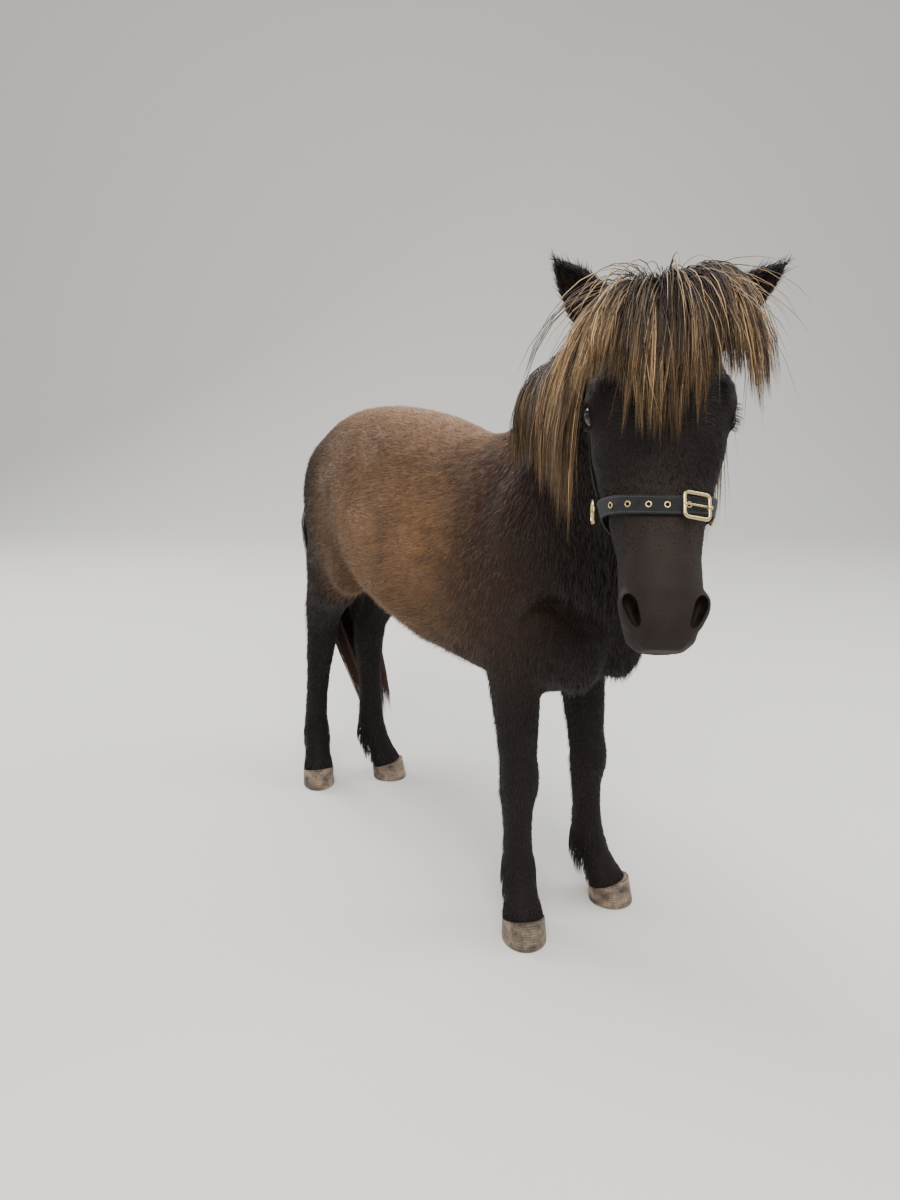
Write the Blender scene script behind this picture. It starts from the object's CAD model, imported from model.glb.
"""Shetland pony: a life-size display model with skin, coat, hair, eyes, hooves and head collar."""

import random
from collections import namedtuple
from math import ceil, copysign, cos, pi, radians, sin, sqrt

import bmesh
import bpy
import numpy as np
from mathutils import Matrix, Vector
from mathutils.bvhtree import BVHTree


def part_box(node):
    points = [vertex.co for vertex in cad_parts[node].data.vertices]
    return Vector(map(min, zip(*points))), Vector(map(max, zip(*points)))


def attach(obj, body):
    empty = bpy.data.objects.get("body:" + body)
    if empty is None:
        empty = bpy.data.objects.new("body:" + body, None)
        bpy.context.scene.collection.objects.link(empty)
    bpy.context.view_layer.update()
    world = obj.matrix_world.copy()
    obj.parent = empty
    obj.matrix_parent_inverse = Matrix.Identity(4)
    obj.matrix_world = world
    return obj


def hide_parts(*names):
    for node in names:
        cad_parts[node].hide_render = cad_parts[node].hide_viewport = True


bl_info = {
    "name": "Shetland pony",
    "version": (1, 0, 0),
    "blender": (4, 5, 0),
    "location": "View3D > Sidebar > Pony",
    "description": "Builds the visual model of a standing Shetland pony",
    "category": "Add Mesh",
}

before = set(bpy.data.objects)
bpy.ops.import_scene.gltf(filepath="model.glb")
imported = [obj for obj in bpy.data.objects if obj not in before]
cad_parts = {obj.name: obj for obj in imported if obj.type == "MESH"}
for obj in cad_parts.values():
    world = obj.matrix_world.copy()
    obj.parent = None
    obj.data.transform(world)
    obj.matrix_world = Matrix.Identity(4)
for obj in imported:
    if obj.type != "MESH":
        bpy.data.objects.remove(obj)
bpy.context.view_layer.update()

LEFT, RIGHT = 1, -1
SIDES = {LEFT: "left", RIGHT: "right"}
UP = Vector((0, 0, 1))
DOWN = np.array([0, 0, -1.0])
FLESH = ("head", "neck", "torso", "ear_left", "ear_right", "leg_fore_left", "leg_fore_right", "leg_hind_left",
         "leg_hind_right", "shank_fore_left", "shank_fore_right", "shank_hind_left", "shank_hind_right")

# The head's turn to its right and the tilt of the face from plumb.
HEAD_TURN = radians(44)
FACE_TILT = radians(25)
MUZZLE_DRIFT = 0.004  # how far the muzzle lies to the left of the head's middle plane
THROAT_BACK, THROAT_DROP, THROAT_LEAN = 0.112, 0.085, radians(22)

EYE_PLACE, LID = Vector((0.0640, 0.000, 0.012)), 0.0032
EAR_BASE, EAR_LENGTH = Vector((0.056, 0.092, 0.012)), 0.096
EAR_LEAN = {LEFT: radians(41), RIGHT: radians(34)}
NOSEBAND_Y = -0.109
BAND_AXIS = -0.022  # how deep in the head the middle of the noseband's loop lies
NOSTRIL = Vector((0.0345, -0.2120, 0.0165))
NOSTRIL_LEAN = radians(20)

# The opening between the lids, from the eye's middle: its place, half sizes and slant.
SLIT, SLIT_SIZES, SLIT_SLANT = Vector((0.0140, -0.002, 0.0045)), (0.0150, 0.0150, 0.0105), radians(14)

STRAP_CLEARANCE = 0.0007
HAIR_CLEARANCE, HAIR_REACH = 0.003, 0.04
HOOF_HEIGHT = 0.060
EYELET_RADIUS, EYELET_WIRE = 0.0027, 0.0008
RING_RADIUS, BUCKLE_ANGLE = 0.0125, radians(63)
RING_POINTS = 40
PIECE_LIMIT = 195000  # triangles in one piece of hair

# The headstall on one side, from the cheek ring to the poll: place up the face, height, lean outwards.
CHEEK_PATH = ((-0.083, -0.047, 0), (-0.048, -0.053, 0), (-0.005, -0.058, 0), (0.035, -0.058, 0),
              (0.064, -0.056, 2), (0.083, -0.054, 14), (0.092, -0.052, 32), (0.096, -0.050, 52),
              (0.098, -0.050, 72), (0.098, -0.050, 90))

# The camera, and the soft lamps: place, power, size and colour.
CAMERA_PLACE = Vector((-0.922, -1.171, 0.88))
CAMERA_YAW, CAMERA_PITCH = radians(38.74), radians(14.5)
FOCAL_PIXELS, PICTURE_HEIGHT, SENSOR_HEIGHT = 832, 1200, 36.0
LAMPS = (((-2.2, -2.6, 3.4), 200, 2.6, "#fff8f0"), ((2.8, -1.6, 2.6), 80, 2.2, "#f4f6fa"),
         ((-0.6, 3.2, 3.2), 160, 2.2, "#ffffff"), ((0, -0.3, 4.2), 120, 3.0, "#f4f8ff"))

# The middle of the tail from the dock to its tip.
TAIL_PATH = ((0.001, 0.392, 0.738), (0.004, 0.410, 0.68), (0.016, 0.424, 0.60), (0.042, 0.430, 0.49),
             (0.074, 0.430, 0.38), (0.104, 0.426, 0.27), (0.128, 0.420, 0.17), (0.140, 0.414, 0.09))

# The fleshy root of the tail: middle and radius.
DOCK = (
    (0.000, 0.300, 0.778, 0.028),
    (0.000, 0.348, 0.768, 0.027),
    (0.001, 0.382, 0.742, 0.025),
    (0.003, 0.401, 0.702, 0.022),
    (0.006, 0.409, 0.655, 0.018),
    (0.010, 0.414, 0.610, 0.013),
    (0.012, 0.416, 0.588, 0.007),
)

# Trunk sections: y, top, bottom, half width, height of the widest point, power above and below it.
Trunk = namedtuple("Trunk", "y top bottom half wide above below")
TRUNK = [Trunk(*row) for row in (
    (-0.418, 0.655, 0.540, 0.045, 0.595, 2.0, 2.0),
    (-0.395, 0.700, 0.468, 0.092, 0.575, 2.0, 2.0),
    (-0.355, 0.750, 0.422, 0.118, 0.570, 2.0, 2.0),
    (-0.300, 0.795, 0.402, 0.130, 0.580, 1.8, 2.1),
    (-0.220, 0.826, 0.400, 0.138, 0.590, 1.7, 2.1),
    (-0.150, 0.808, 0.408, 0.148, 0.600, 1.8, 2.1),
    (-0.100, 0.810, 0.414, 0.156, 0.605, 1.9, 2.1),
    (-0.040, 0.826, 0.424, 0.163, 0.610, 2.0, 2.1),
    (0.020, 0.838, 0.438, 0.166, 0.620, 2.1, 2.0),
    (0.080, 0.845, 0.458, 0.162, 0.635, 2.1, 2.0),
    (0.140, 0.848, 0.482, 0.152, 0.655, 2.1, 2.0),
    (0.200, 0.844, 0.500, 0.142, 0.665, 2.1, 2.0),
    (0.260, 0.830, 0.505, 0.127, 0.665, 2.0, 2.0),
    (0.305, 0.806, 0.508, 0.106, 0.660, 2.0, 2.0),
    (0.342, 0.765, 0.520, 0.076, 0.650, 2.0, 2.0),
    (0.362, 0.715, 0.560, 0.040, 0.640, 2.0, 2.0),
)]

# Neck sections along its plan curve: share of the way, height, tilt of the section from plumb,
# half depth to the crest and to the throat, and half width.
Neck = namedtuple("Neck", "along height tilt crest throat half power")
NECK = [Neck(*row) for row in (
    (0.16, 0.665, -38, 0.165, 0.150, 0.098, 1.9),
    (0.30, 0.725, -28, 0.150, 0.138, 0.086, 1.9),
    (0.45, 0.785, -12, 0.128, 0.120, 0.075, 1.9),
    (0.60, 0.838, 8, 0.106, 0.102, 0.067, 1.9),
    (0.74, 0.876, 26, 0.088, 0.088, 0.061, 2.0),
    (0.86, 0.900, 40, 0.074, 0.078, 0.056, 2.0),
    (0.95, 0.905, 52, 0.062, 0.070, 0.052, 2.0),
)]

# Head sections in the head's own frame: place up the face from the eyes, height of the face line
# and of the jaw line, half width and the height of the widest point.
Face = namedtuple("Face", "y face jaw half wide above below")
HEAD = [Face(*row) for row in (
    (0.128, 0.030, -0.050, 0.040, -0.005, 2.0, 2.0),
    (0.110, 0.046, -0.078, 0.054, -0.002, 2.2, 2.0),
    (0.080, 0.058, -0.106, 0.064, 0.002, 2.3, 2.0),
    (0.040, 0.064, -0.120, 0.072, 0.006, 2.4, 1.9),
    (0.000, 0.061, -0.122, 0.076, 0.008, 2.4, 1.9),
    (-0.042, 0.051, -0.114, 0.071, 0.004, 2.3, 1.9),
    (-0.080, 0.044, -0.100, 0.060, -0.002, 2.3, 1.9),
    (-0.118, 0.040, -0.086, 0.0505, -0.005, 2.3, 2.0),
    (-0.155, 0.037, -0.076, 0.0445, -0.008, 2.4, 2.1),
    (-0.193, 0.034, -0.069, 0.0440, -0.010, 2.4, 2.2),
    (-0.224, 0.027, -0.065, 0.0415, -0.014, 2.3, 2.2),
    (-0.243, 0.015, -0.058, 0.0360, -0.018, 2.2, 2.2),
    (-0.2530, 0.000, -0.048, 0.0240, -0.022, 2.0, 2.0),
)]

# Leg sections from the top down: height, how far outwards and backwards the section's middle
# lies from the leg's foot, half width across, and half depth in front and behind.
Limb = namedtuple("Limb", "z out back half fore aft")
FORELEG = [Limb(*row) for row in (
    (0.530, 0.004, 0.012, 0.036, 0.058, 0.060),
    (0.470, 0.002, 0.010, 0.041, 0.055, 0.058),
    (0.415, 0.000, 0.006, 0.039, 0.048, 0.048),
    (0.360, 0.000, 0.002, 0.036, 0.040, 0.040),
    (0.308, 0.000, 0.000, 0.0335, 0.034, 0.034),
    (0.272, 0.000, -0.003, 0.0355, 0.036, 0.033),
    (0.244, 0.000, -0.001, 0.0345, 0.034, 0.033),
    (0.214, 0.000, 0.002, 0.0285, 0.027, 0.031),
    (0.175, 0.000, 0.003, 0.0255, 0.025, 0.029),
    (0.142, 0.000, 0.003, 0.0260, 0.026, 0.031),
    (0.114, 0.000, 0.002, 0.0290, 0.029, 0.036),
    (0.088, 0.000, -0.006, 0.0285, 0.028, 0.033),
    (0.064, 0.000, -0.017, 0.0305, 0.031, 0.033),
    (0.042, 0.000, -0.026, 0.0350, 0.036, 0.034),
    (0.012, 0.000, -0.032, 0.0360, 0.038, 0.036),
)]
HINDLEG = [Limb(*row) for row in (
    (0.600, 0.020, -0.132, 0.052, 0.095, 0.080),
    (0.545, 0.024, -0.128, 0.056, 0.108, 0.088),
    (0.495, 0.018, -0.108, 0.052, 0.094, 0.076),
    (0.445, 0.010, -0.074, 0.045, 0.066, 0.062),
    (0.400, 0.002, -0.042, 0.036, 0.044, 0.051),
    (0.368, -0.006, -0.024, 0.033, 0.038, 0.049),
    (0.335, -0.008, -0.014, 0.0335, 0.038, 0.042),
    (0.300, -0.007, -0.008, 0.0320, 0.034, 0.036),
    (0.262, -0.005, -0.005, 0.0280, 0.029, 0.032),
    (0.205, -0.002, 0.000, 0.0260, 0.027, 0.031),
    (0.158, 0.000, 0.003, 0.0265, 0.028, 0.033),
    (0.124, 0.000, 0.004, 0.0300, 0.031, 0.037),
    (0.096, 0.000, -0.006, 0.0285, 0.028, 0.033),
    (0.068, 0.000, -0.017, 0.0300, 0.030, 0.032),
    (0.042, 0.000, -0.026, 0.0340, 0.036, 0.034),
    (0.012, 0.000, -0.032, 0.0350, 0.038, 0.036),
)]

# Each leg: its sections, the foot's place, how far the toes turn out, and where its top lies.
Leg = namedtuple("Leg", "name sections side x y turn top_x top_y")
LEGS = [Leg(*row) for row in (
    ("fore_right", FORELEG, RIGHT, -0.068, -0.293, 30, -0.070, -0.274),
    ("fore_left", FORELEG, LEFT, 0.100, -0.304, 18, 0.080, -0.268),
    ("hind_right", HINDLEG, RIGHT, -0.055, 0.400, 25, -0.050, 0.378),
    ("hind_left", HINDLEG, LEFT, 0.062, 0.332, 30, 0.056, 0.352),
)]

# Muscle and bone that stand out of the trunk, as ellipsoids on both sides: centre, half sizes,
# and the lean of the long axis forwards in side view.
Mass = namedtuple("Mass", "x y z half deep tall lean")
MASSES = [Mass(*row) for row in (
    (0.074, -0.292, 0.650, 0.057, 0.080, 0.160, 24),
    (0.078, -0.340, 0.560, 0.050, 0.062, 0.085, 0),
    (0.084, -0.266, 0.520, 0.048, 0.078, 0.090, -20),
    (0.046, -0.378, 0.520, 0.055, 0.045, 0.085, 0),
    (0.088, 0.215, 0.640, 0.055, 0.105, 0.150, -12),
    (0.056, 0.292, 0.620, 0.046, 0.056, 0.140, 6),
    (0.094, 0.175, 0.560, 0.044, 0.060, 0.080, -14),
    (0.100, 0.120, 0.762, 0.034, 0.045, 0.030, 0),
)]


def heading():
    """The level way in which the face looks."""
    return Vector((-sin(HEAD_TURN), -cos(HEAD_TURN), 0))


def head_turn():
    """Axes of the head: x to its left, y up the face, z out of the forehead."""
    forward = heading()
    left = UP.cross(forward)
    down_face = forward * sin(FACE_TILT) - UP * cos(FACE_TILT)
    out = forward * cos(FACE_TILT) + UP * sin(FACE_TILT)
    return Matrix((left, -down_face, out)).transposed()


def middle_of(node):
    low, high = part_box(node)
    return (low + high) / 2


# The point between the eyes, and where the table's origin lies: under the withers' line on the floor.
EYE_MIDDLE = middle_of("eye_left") - head_turn() @ EYE_PLACE
HOME = EYE_MIDDLE - Vector((-0.163, -0.5875, 0.842))
HOME.z = 0.0
NECK_START = HOME + Vector((0.0, -0.200, 0))
NECK_BEND = HOME + Vector((0.0, -0.399, 0))


def head_frame():
    place = head_turn().to_4x4()
    place.translation = EYE_MIDDLE
    return place


def head_axes():
    """The head's frame and its turn alone."""
    place = head_frame()
    return place, place.to_3x3()


def on_side(place, side):
    """A place given for the left, mirrored for the right where side is -1."""
    return Vector((place.x * side, place.y, place.z))


def ring(centre, side, up, half, above, below, power_above=2.0, power_below=2.0, count=RING_POINTS):
    """The points of one closed section, a superellipse whose upper and lower halves may differ."""
    points = []
    for step in range(count):
        angle = 2 * pi * step / count
        across, rise = cos(angle), sin(angle)
        power = power_above if rise > 0 else power_below
        height = above if rise > 0 else below
        x = half * copysign(abs(across) ** (2 / power), across)
        y = height * copysign(abs(rise) ** (2 / power), rise)
        points.append(centre + side * x + up * y)
    return points


def quads(mesh, rows, closed=False):
    """Joins rows of corners with quads, and closes both ends of an open run. Gives the quads in order."""
    made = []
    for low, high in zip(rows, rows[1:] + (rows[:1] if closed else [])):
        for step in range(len(low)):
            after = (step + 1) % len(low)
            made.append(mesh.faces.new((low[step], low[after], high[after], high[step])))
    if not closed:
        mesh.faces.new(rows[0])
        mesh.faces.new(rows[-1])
    return made


def neighbours(points, index, closed):
    """The points before and after one point of a path."""
    count = len(points)
    before = points[index - 1] if index or closed else points[index]
    after = points[(index + 1) % count] if index < count - 1 or closed else points[index]
    return before, after


def neck_place(along):
    """The neck's plan curve: point and forward direction at a share of its length."""
    end = Vector((EYE_MIDDLE.x, EYE_MIDDLE.y, 0))
    rest = 1 - along
    point = NECK_START * rest * rest + NECK_BEND * 2 * rest * along + end * along * along
    forward = ((NECK_BEND - NECK_START) * rest + (end - NECK_BEND) * along).normalized()
    return point, forward


def trunk_rings():
    side = Vector((1, 0, 0))
    for s in TRUNK:
        centre = HOME + Vector((0, s.y, s.wide))
        yield ring(centre, side, UP, s.half, s.top - s.wide, s.wide - s.bottom, s.above, s.below)


def neck_rings():
    for s in NECK:
        point, forward = neck_place(s.along)
        lean = radians(s.tilt)
        up = UP * cos(lean) + forward * sin(lean)
        centre = point + UP * s.height
        yield ring(centre, UP.cross(forward), up, s.half, s.crest, s.throat, s.power, 2.0)


def drift(y):
    """Sideways place of the face's middle at a height on the face."""
    share = min(1.0, max(0.0, (-0.10 - y) / 0.12))
    return MUZZLE_DRIFT * share * share * (3 - 2 * share)


def head_rings(place):
    side, up = place.col[0].to_3d(), place.col[2].to_3d()
    for s in HEAD:
        centre = place @ Vector((drift(s.y), s.y, s.wide))
        yield ring(centre, side, up, s.half, s.face - s.wide, s.wide - s.jaw, s.above, s.below)


def leg_rings(leg):
    """Sections of one leg. The toes' turn fades out by the knee or hock."""
    foot_height, knee_height = leg.sections[-1].z, 0.30
    top_height = leg.sections[0].z
    for s in leg.sections:
        rise = (s.z - foot_height) / (top_height - foot_height)
        fade = min(1.0, max(0.0, (s.z - 0.10) / (knee_height - 0.10)))
        turn = radians(leg.turn) * (1 - fade) * leg.side
        forward = Vector((sin(turn), -cos(turn), 0))
        side = UP.cross(forward)
        base = HOME + Vector((leg.x + (leg.top_x - leg.x) * rise, leg.y + (leg.top_y - leg.y) * rise, s.z))
        centre = base + Vector((s.out * leg.side, 0, 0)) - forward * s.back
        yield ring(centre, side, -forward, s.half, s.aft, s.fore)


def dock_rings():
    """The fleshy root of the tail, which leaves the croup and turns down."""
    for before, s, after in zip((DOCK[0],) + DOCK[:-1], DOCK, DOCK[1:] + (DOCK[-1],)):
        along = (Vector(after[:3]) - Vector(before[:3])).normalized()
        side = (Vector((1, 0, 0)) - along * along.x).normalized()
        yield ring(HOME + Vector(s[:3]), side, side.cross(along), s[3], s[3], s[3])


def foot_frame(leg):
    """The foot's own frame: x across, y forwards, z up, at the leg's foot."""
    turn = radians(leg.turn) * leg.side
    forward = Vector((sin(turn), -cos(turn), 0))
    place = Matrix((forward.cross(UP), forward, UP)).transposed().to_4x4()
    place.translation = HOME + Vector((leg.x, leg.y, 0))
    return place


def tail_point(share):
    """A point on the tail's middle curve."""
    place = share * (len(TAIL_PATH) - 1)
    index = min(int(place), len(TAIL_PATH) - 2)
    part = place - index
    a, b, c, d = [Vector(TAIL_PATH[min(max(index + k, 0), len(TAIL_PATH) - 1)]) for k in (-1, 0, 1, 2)]
    return HOME + 0.5 * (2 * b + (c - a) * part + (2 * a - 5 * b + 4 * c - d) * part ** 2
                         + (3 * b - a - 3 * c + d) * part ** 3)


# Working with objects.

def deselect():
    for thing in bpy.context.selected_objects:
        thing.select_set(False)


def only(thing):
    """Selects one object and makes it active."""
    deselect()
    thing.hide_set(False)
    thing.select_set(True)
    bpy.context.view_layer.objects.active = thing
    return thing


def apply(thing, kind, **settings):
    """Adds a modifier with its settings and applies it."""
    only(thing)
    step = thing.modifiers.new(kind.title(), kind)
    for key, value in settings.items():
        setattr(step, key, value)
    bpy.ops.object.modifier_apply(modifier=step.name)
    return thing


def join(things, name):
    """Joins several objects in one, with the place in the mesh."""
    deselect()
    for thing in things:
        thing.select_set(True)
    bpy.context.view_layer.objects.active = things[0]
    if len(things) > 1:
        bpy.ops.object.join()
    bpy.ops.object.transform_apply(location=True, rotation=True, scale=True)
    thing = bpy.context.active_object
    thing.name = thing.data.name = name
    return thing


def added(name, data):
    """A new object of the scene."""
    thing = bpy.data.objects.new(name, data)
    bpy.context.scene.collection.objects.link(thing)
    return thing


def new_object(name, mesh):
    """Makes an object of a bmesh, which is freed, with its faces turned outwards."""
    bmesh.ops.recalc_face_normals(mesh, faces=mesh.faces[:])
    data = bpy.data.meshes.new(name)
    mesh.to_mesh(data)
    mesh.free()
    return added(name, data)


def lofted(name, rings):
    mesh = bmesh.new()
    quads(mesh, [[mesh.verts.new(point) for point in points] for points in rings])
    return new_object(name, mesh)


def ball(place, half_sizes, turn=None, segments=24):
    """An ellipsoid at a place: its half sizes lie along its own axes, which turn may rotate."""
    deselect()
    angles = (turn or Matrix.Identity(3)).to_euler()
    bpy.ops.mesh.primitive_uv_sphere_add(segments=segments, ring_count=segments // 2, radius=1,
                                         location=place, rotation=angles, scale=half_sizes)
    bpy.ops.object.transform_apply(location=True, rotation=True, scale=True)
    return bpy.context.active_object


def remove(thing):
    """Removes an object with its mesh."""
    data = thing.data
    bpy.data.objects.remove(thing)
    bpy.data.meshes.remove(data)


def cut(thing, other, operation="DIFFERENCE", solver="MANIFOLD"):
    """Cuts, joins or intersects an object with another one, which is then removed."""
    apply(thing, "BOOLEAN", operation=operation, solver=solver, object=other)
    remove(other)
    return thing


def surface_of(*things):
    """One search tree over the surfaces of several objects."""
    points, faces = [], []
    for thing in things:
        start = len(points)
        points += [vertex.co.copy() for vertex in thing.data.vertices]
        faces += [[start + index for index in face.vertices] for face in thing.data.polygons]
    return BVHTree.FromPolygons(points, faces)


def points_of(thing, what="co"):
    """The places of a mesh's points, or their normals."""
    values = np.empty(len(thing.data.vertices) * 3, np.float32)
    thing.data.vertices.foreach_get(what, values)
    return values.reshape(-1, 3).astype(float)


def mark(thing, name, chosen, weight=1.0):
    """Adds the chosen points to a vertex group of the object."""
    group = thing.vertex_groups.get(name) or thing.vertex_groups.new(name=name)
    group.add([int(index) for index in np.nonzero(chosen)[0]], weight, "REPLACE")


def move_points(thing, places):
    thing.data.vertices.foreach_set("co", np.ascontiguousarray(places, np.float32).ravel())
    thing.data.update()


def smooth_step(low, high, value):
    t = np.clip((value - low) / (high - low), 0.0, 1.0)
    return t * t * (3 - 2 * t)


def rows_unit(vectors):
    return vectors / np.maximum(np.linalg.norm(vectors, axis=-1, keepdims=True), 1e-9)


def noise(places, size, seed=0):
    """Smooth value noise between 0 and 1, one value a point, with lumps of the given size."""
    cells = places / size + 37.7 * (seed + 1)
    low = np.floor(cells).astype(np.int64)
    part = cells - low
    part = part * part * (3 - 2 * part)
    total = np.zeros(len(places))
    for corner in range(8):
        step = np.array([corner & 1, corner >> 1 & 1, corner >> 2 & 1])
        at = low + step
        key = at[:, 0] * 73856093 ^ at[:, 1] * 19349663 ^ at[:, 2] * 83492791 ^ (seed * 2654435761)
        key = (key ^ key >> 13) * 1274126177 & 0xFFFFFF
        weight = np.prod(np.where(step == 1, part, 1 - part), axis=1)
        total += weight * (key / 0xFFFFFF)
    return total


def linear(colour):
    """From an sRGB hex text or three sRGB values to the linear values that a shader takes."""
    if isinstance(colour, str):
        colour = [int(colour[at:at + 2], 16) / 255 for at in (1, 3, 5)]
    return np.array([c / 12.92 if c <= 0.04045 else ((c + 0.055) / 1.055) ** 2.4 for c in colour])


def in_head(places):
    """Points as seen in the head's own frame."""
    turn = np.array(head_turn())
    return (places - np.array(EYE_MIDDLE)) @ turn


def head_share(places):
    """1 on the head, 0 behind the jaw, with a soft change between."""
    forward = heading()
    normal = forward * cos(THROAT_LEAN) - UP * sin(THROAT_LEAN)
    point = EYE_MIDDLE - forward * THROAT_BACK - UP * THROAT_DROP
    ahead = smooth_step(-0.02, 0.03, (places - np.array(point)) @ np.array(normal))
    return ahead * smooth_step(0.50, 0.55, places[:, 2])


def leg_share(places):
    return 1 - smooth_step(0.40, 0.50, places[:, 2])


# What one step makes for the next ones: the hide, the halter's lines and the materials.
WORK = {}

# The skin.

def head_forms(place):
    """Brows, cheeks, facial crests, nostril wings, lips and chin, on both sides of the face."""
    turn = place.to_3x3()
    forms = []
    for side in (LEFT, RIGHT):
        for centre, sizes in (((0.055, 0.016, 0.020), (0.026, 0.034, 0.028)),
                              ((0.042, 0.030, -0.058), (0.028, 0.066, 0.060)),
                              ((0.044, -0.056, -0.010), (0.021, 0.056, 0.018)),
                              ((0.029, -0.208, 0.000), (0.0175, 0.028, 0.022))):
            at = Vector((centre[0] * side + drift(centre[1]), centre[1], centre[2]))
            forms.append(ball(place @ at, sizes, turn))
    forms.append(ball(place @ Vector((MUZZLE_DRIFT, -0.230, -0.016)), (0.030, 0.020, 0.021), turn))
    forms.append(ball(place @ Vector((MUZZLE_DRIFT, -0.219, -0.055)), (0.025, 0.022, 0.017), turn))
    return forms


def trunk_forms():
    forms = []
    for m in MASSES:
        turn = Matrix.Rotation(radians(m.lean), 3, "X")
        for side in (LEFT, RIGHT):
            forms.append(ball(HOME + Vector((m.x * side, m.y, m.z)), (m.half, m.deep, m.tall), turn))
    return forms


def eye_place(side):
    return head_frame() @ on_side(EYE_PLACE, side)


def soften(thing, factor, rounds, group=""):
    return apply(thing, "SMOOTH", factor=factor, iterations=rounds, vertex_group=group)


def coarse_body():
    """The whole body as one smooth closed surface."""
    forms = [lofted("trunk", trunk_rings()), lofted("neck", neck_rings()), lofted("dock", dock_rings()),
             lofted("head", head_rings(head_frame()))]
    forms += [lofted("leg", leg_rings(leg)) for leg in LEGS]
    body = join(forms + head_forms(head_frame()) + trunk_forms(), "skin")
    apply(body, "REMESH", mode="VOXEL", voxel_size=0.006)
    places = points_of(body) - np.array(HOME)
    weights = np.clip((places[:, 2] - 0.44) / 0.06, 0, 1) * np.clip((places[:, 1] + 0.47) / 0.05, 0, 1)
    for share in range(1, 11):
        mark(body, "fleshy", (weights > (share - 1) / 10) & (weights <= share / 10), share / 10)
    soften(body, 0.5, 5)
    soften(body, 0.5, 60, "fleshy")
    return body


def fine_head(sizes):
    """The head and neck at a finer grain, with lids, nostril rims and lips."""
    place, turn = head_axes()
    forms = [lofted("neck", neck_rings()), lofted("head", head_rings(place))] + head_forms(place)
    for side in (LEFT, RIGHT):
        centre = on_side(EYE_PLACE, side)
        forms.append(ball(place @ centre, (sizes.eye_radius + LID,) * 3, turn, 40))
        slant = turn @ Matrix.Rotation(-NOSTRIL_LEAN * side, 3, "Z")
        # The nostril's raised rim, the fold from it down to the lip, the upper and the lower lip.
        for x, y, z, half_sizes, lie in ((0.0345, -0.2105, 0.0085, (0.0130, 0.0215, 0.0125), slant),
                                         (0.0240, -0.2380, -0.004, (0.0052, 0.0150, 0.0120), slant),
                                         (0.0240, -0.2180, -0.027, (0.0165, 0.0270, 0.0095), turn),
                                         (0.0200, -0.2170, -0.049, (0.0150, 0.0240, 0.0080), turn)):
            forms.append(ball(place @ Vector((MUZZLE_DRIFT + x * side, y, z)), half_sizes, lie))
    forms.append(ball(place @ Vector((MUZZLE_DRIFT, -0.2350, -0.026)), (0.0240, 0.0165, 0.0095), turn))
    forms.append(ball(place @ Vector((MUZZLE_DRIFT, -0.2320, -0.047)), (0.0220, 0.0160, 0.0080), turn))
    head = join(forms, "fine_head")
    apply(head, "REMESH", mode="VOXEL", voxel_size=0.0024)
    return soften(head, 0.5, 10)


def split_faces(thing, wanted):
    """Splits the faces whose middle is wanted in four."""
    mesh = bmesh.new()
    mesh.from_mesh(thing.data)
    mesh.faces.ensure_lookup_table()
    middles = np.array([face.calc_center_median() for face in mesh.faces])
    chosen = wanted(middles)
    edges = {edge for face, yes in zip(mesh.faces, chosen) if yes for edge in face.edges}
    bmesh.ops.subdivide_edges(mesh, edges=list(edges), cuts=1, use_grid_fill=True)
    mesh.to_mesh(thing.data)
    mesh.free()
    thing.data.update()


def near_details(middles):
    """Faces round the eyes, the nostrils and the mouth."""
    h = in_head(middles)
    side = np.abs(h[:, 0])
    eye = np.linalg.norm(np.stack([side, h[:, 1], h[:, 2]], 1) - np.array([0.075, 0, 0.012]), axis=1) < 0.034
    front = h[:, 1] < -0.180
    return eye | (front & (head_share(middles) > 0.5))


def mouth_path(tree):
    """The line between the lips, found on the muzzle from inside."""
    place, turn = head_axes()
    start = place @ Vector((MUZZLE_DRIFT, -0.170, -0.038))
    path = []
    for step in range(-24, 25):
        angle = radians(step * 3.6)
        hit = tree.ray_cast(start, turn @ Vector((sin(angle), -cos(angle), 0.01)))[0]
        path.append(hit)
    return path


def distance_to_path(places, path):
    """The distance of each point from a run of straight stretches, and its place along it from 0 to 1."""
    best = np.full(len(places), 1e9)
    where = np.zeros(len(places))
    for index, (a, b) in enumerate(zip(path, path[1:])):
        a, b = np.array(a), np.array(b)
        along = b - a
        t = np.clip(((places - a) @ along) / max(along @ along, 1e-12), 0, 1)
        gap = np.linalg.norm(places - (a + t[:, None] * along), axis=1)
        closer = gap < best
        best[closer] = gap[closer]
        where[closer] = (index + t[closer]) / (len(path) - 1)
    return best, where


def coat_depth(places):
    """How deep the skin lies below the outline of the coat."""
    h = in_head(places)
    head = head_share(places)
    muzzle = smooth_step(-0.13, -0.20, h[:, 1])
    legs = leg_share(places)
    low = 1 - smooth_step(0.10, 0.34, places[:, 2])
    body = 0.0060 * (1 - legs) + legs * (0.0042 * (1 - low) + 0.0028 * low)
    face = 0.0018 * (1 - muzzle) + 0.0005 * muzzle
    return body * (1 - head) + face * head


def ear_axis(side):
    """Where an ear grows from and the way its tip points."""
    outward = UP.cross(heading()) * side
    lean = EAR_LEAN[side]
    axis = (UP * cos(lean) + outward * sin(lean) + heading() * 0.10).normalized()
    return head_frame() @ on_side(EAR_BASE, side), axis


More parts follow.
